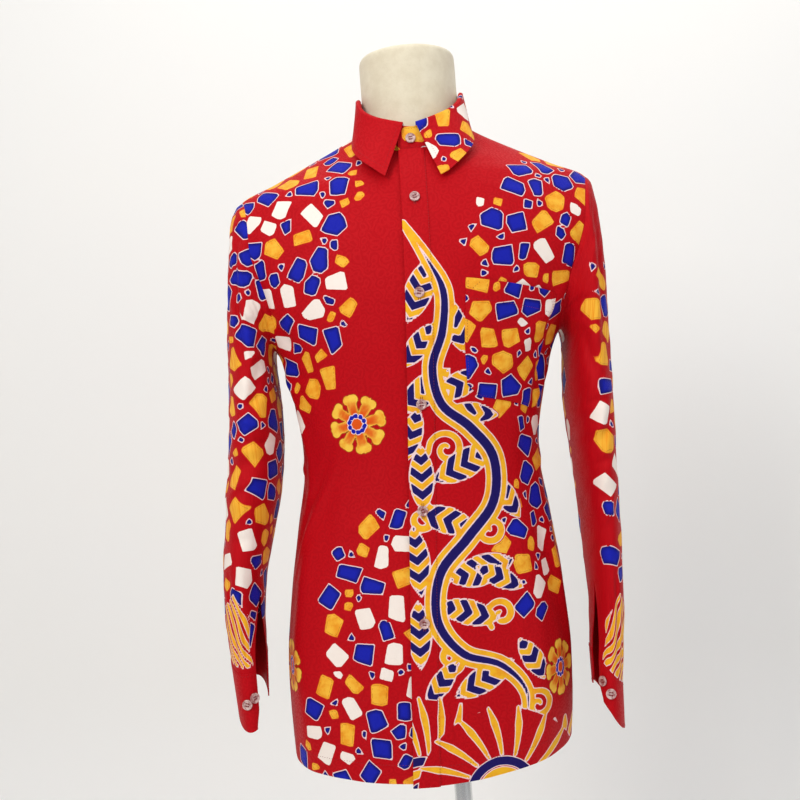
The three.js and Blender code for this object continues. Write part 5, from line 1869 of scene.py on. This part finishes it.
def buttonSeats(settings):
    seats = []
    lift = body["frontLift"] + band["out"]
    for i, height in enumerate(settings["frontHeights"]):
        def pointAt(x, up, height=height):
            return bodyPoint(-1, besideButtons(np.array(x), height + up), np.array(height + up), lift)
        twist = settings["frontTwists"][i]
        matrix = seatMatrix(pointAt, np.array([0, 0, height]), settings, twist)
        seats.append((f"button_front_{i + 1}", matrix))
    line = neckline(collar["fronts"], collar["back"])
    total = lengthsAlong(line)[-1]

    def collarSeat(x, up):
        place = alongLine(line, 1 - (body["placketHalf"] + x) / total)
        return standPoint(place, settings["collarShare"] + up / 26)
    seats.append(("button_collar", seatMatrix(collarSeat, np.array([0, 0, body["frontNeckZ"]]), settings, 5)))
    for name, values in sleeveSettings.items():
        for i, (share, down, twist) in enumerate(settings["cuffPlaces"]):
            def cuffSeat(x, up, share=share, down=down, values=values):
                return cuffPoint(values, share + x / settings["cuffLength"], down - up / cuff["height"])
            core = ovalMiddle(values["side"], values["cuffEnd"])
            seats.append((f"button_cuff_{name}_{i + 1}", seatMatrix(cuffSeat, core, settings, twist)))
    return seats


def placeCopy(source, name, matrix):
    mesh = source.data.copy()
    mesh.transform(matrix)
    copy = bpy.data.objects.new(name, mesh)
    scene.collection.objects.link(copy)
    return copy


def makeButtons(settings):
    master, threadMaster = modelButton(settings), modelButtonThread(settings)
    for node, matrix in buttonSeats(settings):
        disc = placeCopy(master, "pearl_" + node, matrix)
        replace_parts(settlePiece(disc, pearl, "button_pearl"), node)
        settlePiece(placeCopy(threadMaster, "thread_" + node, matrix), redThread, "printed_cloth")
    bpy.data.objects.remove(master)
    bpy.data.objects.remove(threadMaster)


makeButtons(button)
print("buttons made")

# Stitching
stitch = {"length": 2.5, "gap": 0.6, "radius": 0.26, "raise": 0.12}
closeStitch = {"length": 1.3, "gap": 0.2, "radius": 0.3, "raise": 0.12}


def sampleGrid(points, row, column):
    row, column = np.broadcast_arrays(np.asarray(row, float), np.asarray(column, float))
    r = np.clip(np.floor(row).astype(int), 0, points.shape[0] - 2)
    c = np.clip(np.floor(column).astype(int), 0, points.shape[1] - 2)
    s, t = (row - r)[..., None], (column - c)[..., None]
    low = mix(points[r, c], points[r, c + 1], t)
    return mix(low, mix(points[r + 1, c], points[r + 1, c + 1], t), s)


def outwardNormals(points, core):
    normals = gridNormals(points)
    return normals if np.sum((points - core) * normals) > 0 else -normals


def rowAtLength(points, length):  # the fractional row so far up each column from row 0
    steps = np.linalg.norm(np.diff(points, axis=0), axis=-1)
    reach = np.concatenate([np.zeros((1, points.shape[1])), np.cumsum(steps, axis=0)])
    return np.array([np.interp(length, reach[:, i], np.arange(len(points))) for i in range(points.shape[1])])


def columnAtLength(points, length):
    return rowAtLength(points.transpose(1, 0, 2), length)


def makeStitches(name, seams, slot="printed_cloth", settings=stitch):
    # seams: (points, normals) of each line. A stitch is a small lozenge with its ends sunk in the cloth.
    vertices, faces = [], []
    ring = [(2, 3), (3, 4), (4, 5), (5, 2)]
    pattern = np.array([(0, a, b) for a, b in ring] + [(1, b, a) for a, b in ring])
    count = 0
    for line, normals in seams:
        lengths = lengthsAlong(line)
        pitch = settings["length"] + settings["gap"]
        starts = np.arange(0, lengths[-1] - settings["length"], pitch)
        ends = starts + settings["length"]

        def place(s, data, lengths=lengths):
            return np.stack([np.interp(s, lengths, data[:, k]) for k in range(3)], axis=-1)

        a, b = place(starts, line), place(ends, line)
        normal = unit(place((starts + ends) / 2, normals))
        sink = normal * settings["radius"] * 0.5
        middle = place((starts + ends) / 2, line) + normal * settings["raise"]
        side = unit(np.cross(b - a, normal)) * settings["radius"]
        rise = normal * settings["radius"]
        around = [middle + side, middle + rise, middle - side, middle - rise]
        block = np.stack([a - sink, b - sink, *around], axis=1)
        vertices.append(block.reshape(-1, 3))
        faces.append((pattern[None] + (count + 6 * np.arange(len(starts)))[:, None, None]).reshape(-1, 3))
        count += 6 * len(starts)
    mesh = bpy.data.meshes.new(name)
    mesh.from_pydata((np.concatenate(vertices) * mm).tolist(), [], np.concatenate(faces).tolist())
    mesh.update()
    piece = bpy.data.objects.new(name, mesh)
    scene.collection.objects.link(piece)
    selectOnly(piece)
    enterEdit(piece)
    bpy.ops.mesh.select_all(action="SELECT")
    bpy.ops.mesh.normals_make_consistent(inside=False)
    leaveEdit()
    return settlePiece(piece, redThread, slot, 80)


def seamOn(points, normals, row, column):
    return sampleGrid(points, row, column), sampleGrid(normals, row, column)


def bodyStitches():
    made = []
    for name, points in (("front_left", leftPoints), ("front_right", rightPoints), ("back", backPoints)):
        normals = outwardNormals(points, bodyCore(points))
        columns = np.arange(points.shape[1])
        seams = [seamOn(points, normals, rowAtLength(points, 21.0), columns)]
        made.append(makeStitches("stitches_" + name, seams))
    normals = outwardNormals(bandPoints, bodyCore(bandPoints))
    rows = np.arange(len(bandPoints))
    right = bandPoints.shape[1] - 1.6
    made.append(makeStitches("stitches_band", [seamOn(bandPoints, normals, rows, np.full(len(rows), right))]))
    return made


def pocketStitches():
    normals = outwardNormals(pocketPoints, bodyCore(pocketPoints))
    rows, columns = pocketPoints.shape[0] - 1, pocketPoints.shape[1] - 1
    r, c = np.linspace(0, rows, 80), np.linspace(0, columns, 80)
    inner, outer, low = 1.2, columns - 1.2, 1.0
    mouth, corner = rows - 22 / 131 * rows, rows - 16 / 131 * rows
    seams = [
        seamOn(pocketPoints, normals, np.clip(r, low, rows), np.full(80, inner)),
        seamOn(pocketPoints, normals, np.clip(r, low, rows), np.full(80, outer)),
        seamOn(pocketPoints, normals, np.full(80, low), np.clip(c, inner, outer)),
        seamOn(pocketPoints, normals, np.full(80, mouth), np.clip(c, inner, outer)),
        seamOn(pocketPoints, normals, np.linspace(corner, rows - 0.6, 20), np.linspace(inner, inner + 7, 20)),
        seamOn(pocketPoints, normals, np.linspace(corner, rows - 0.6, 20), np.linspace(outer, outer - 7, 20)),
    ]
    return makeStitches("stitches_pocket", seams)


def collarStitches():
    normals = outwardNormals(collarPoints, neckCore(collarPoints))
    if (normals * neckOut(collarPoints))[14:].sum() < 0:
        normals = -normals
    rows, columns = collarPoints.shape[0] - 1, collarPoints.shape[1] - 1
    low, high = rows - 3.2, len(collar["fold"]) + 1.0
    c = np.linspace(0, columns, 260)
    left = columnAtLength(collarPoints, 5.0)
    right = columns - columnAtLength(collarPoints[:, ::-1], 5.0)
    r = np.linspace(high, low, 40)
    first, last = (np.interp(low, np.arange(rows + 1), edge) for edge in (left, right))
    seams = [seamOn(collarPoints, normals, np.full(260, low), np.clip(c, first, last))]
    for edge in (left, right):
        seams.append(seamOn(collarPoints, normals, r, np.interp(r, np.arange(rows + 1), edge)))
    made = [makeStitches("stitches_collar", seams)]
    normals = outwardNormals(standPoints, neckCore(standPoints))
    c = np.linspace(1, standPoints.shape[1] - 2, 400)
    seams = [seamOn(standPoints, normals, np.full(400, row), c) for row in (0.9, 12.8)]
    made.append(makeStitches("stitches_stand", seams))
    return made


def cuffStitches(name):
    points = cuffs[name][1]
    middle = ovalMiddle(sleeveSettings[name]["side"], sleeveSettings[name]["cuffEnd"])
    normals = outwardNormals(points, pointsOf(middle[0], middle[1], points[..., 2]))
    rows, columns = points.shape[0] - 1, points.shape[1] - 1
    c, r = np.linspace(1.2, columns - 1.2, 200), np.linspace(1.0, rows - 1.0, 40)
    seams = [
        seamOn(points, normals, np.full(200, 1.0), c),
        seamOn(points, normals, np.full(200, rows - 1.0), c),
        seamOn(points, normals, r, np.full(40, 1.2)),
        seamOn(points, normals, r, np.full(40, columns - 1.2)),
    ]
    return makeStitches("stitches_cuff_" + name, seams, "plain_cloth")


def makeButtonholes():
    # A bar of close stitches on both sides of each slit in the band.
    seams = []
    lift = body["frontLift"] + band["out"]
    for height in button["frontHeights"]:
        for side in (-1, 1):
            for rise in np.linspace(-8, 8, 26):
                x = np.array([0.35, 1.75]) * side
                z = height + rise
                line = bodyPoint(-1, besideButtons(x, z), np.full(2, z), lift + 0.05)
                normal = ringNormal(-1, besideButtons(np.array([x.mean()]), z), np.array([z]))
                seams.append((line, np.repeat(normal, 2, axis=0)))
    return makeStitches("buttonholes", seams, settings=closeStitch)


bodySewing = bodyStitches()
pocketSewing = pocketStitches()
collarSewing = collarStitches()
cuffSewing = {name: cuffStitches(name) for name in cuffs}
buttonholes = makeButtonholes()
print("stitching made")


# Every cloth piece is attached to the root.
clothPieces = [leftFront, rightFront, back, buttonBand, chestPocket, collarStand, collarLeaf]
clothPieces += [sleeves[k][0] for k in sleeves] + [cuffs[k][0] for k in cuffs]
for piece in clothPieces:
    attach(piece, "root")
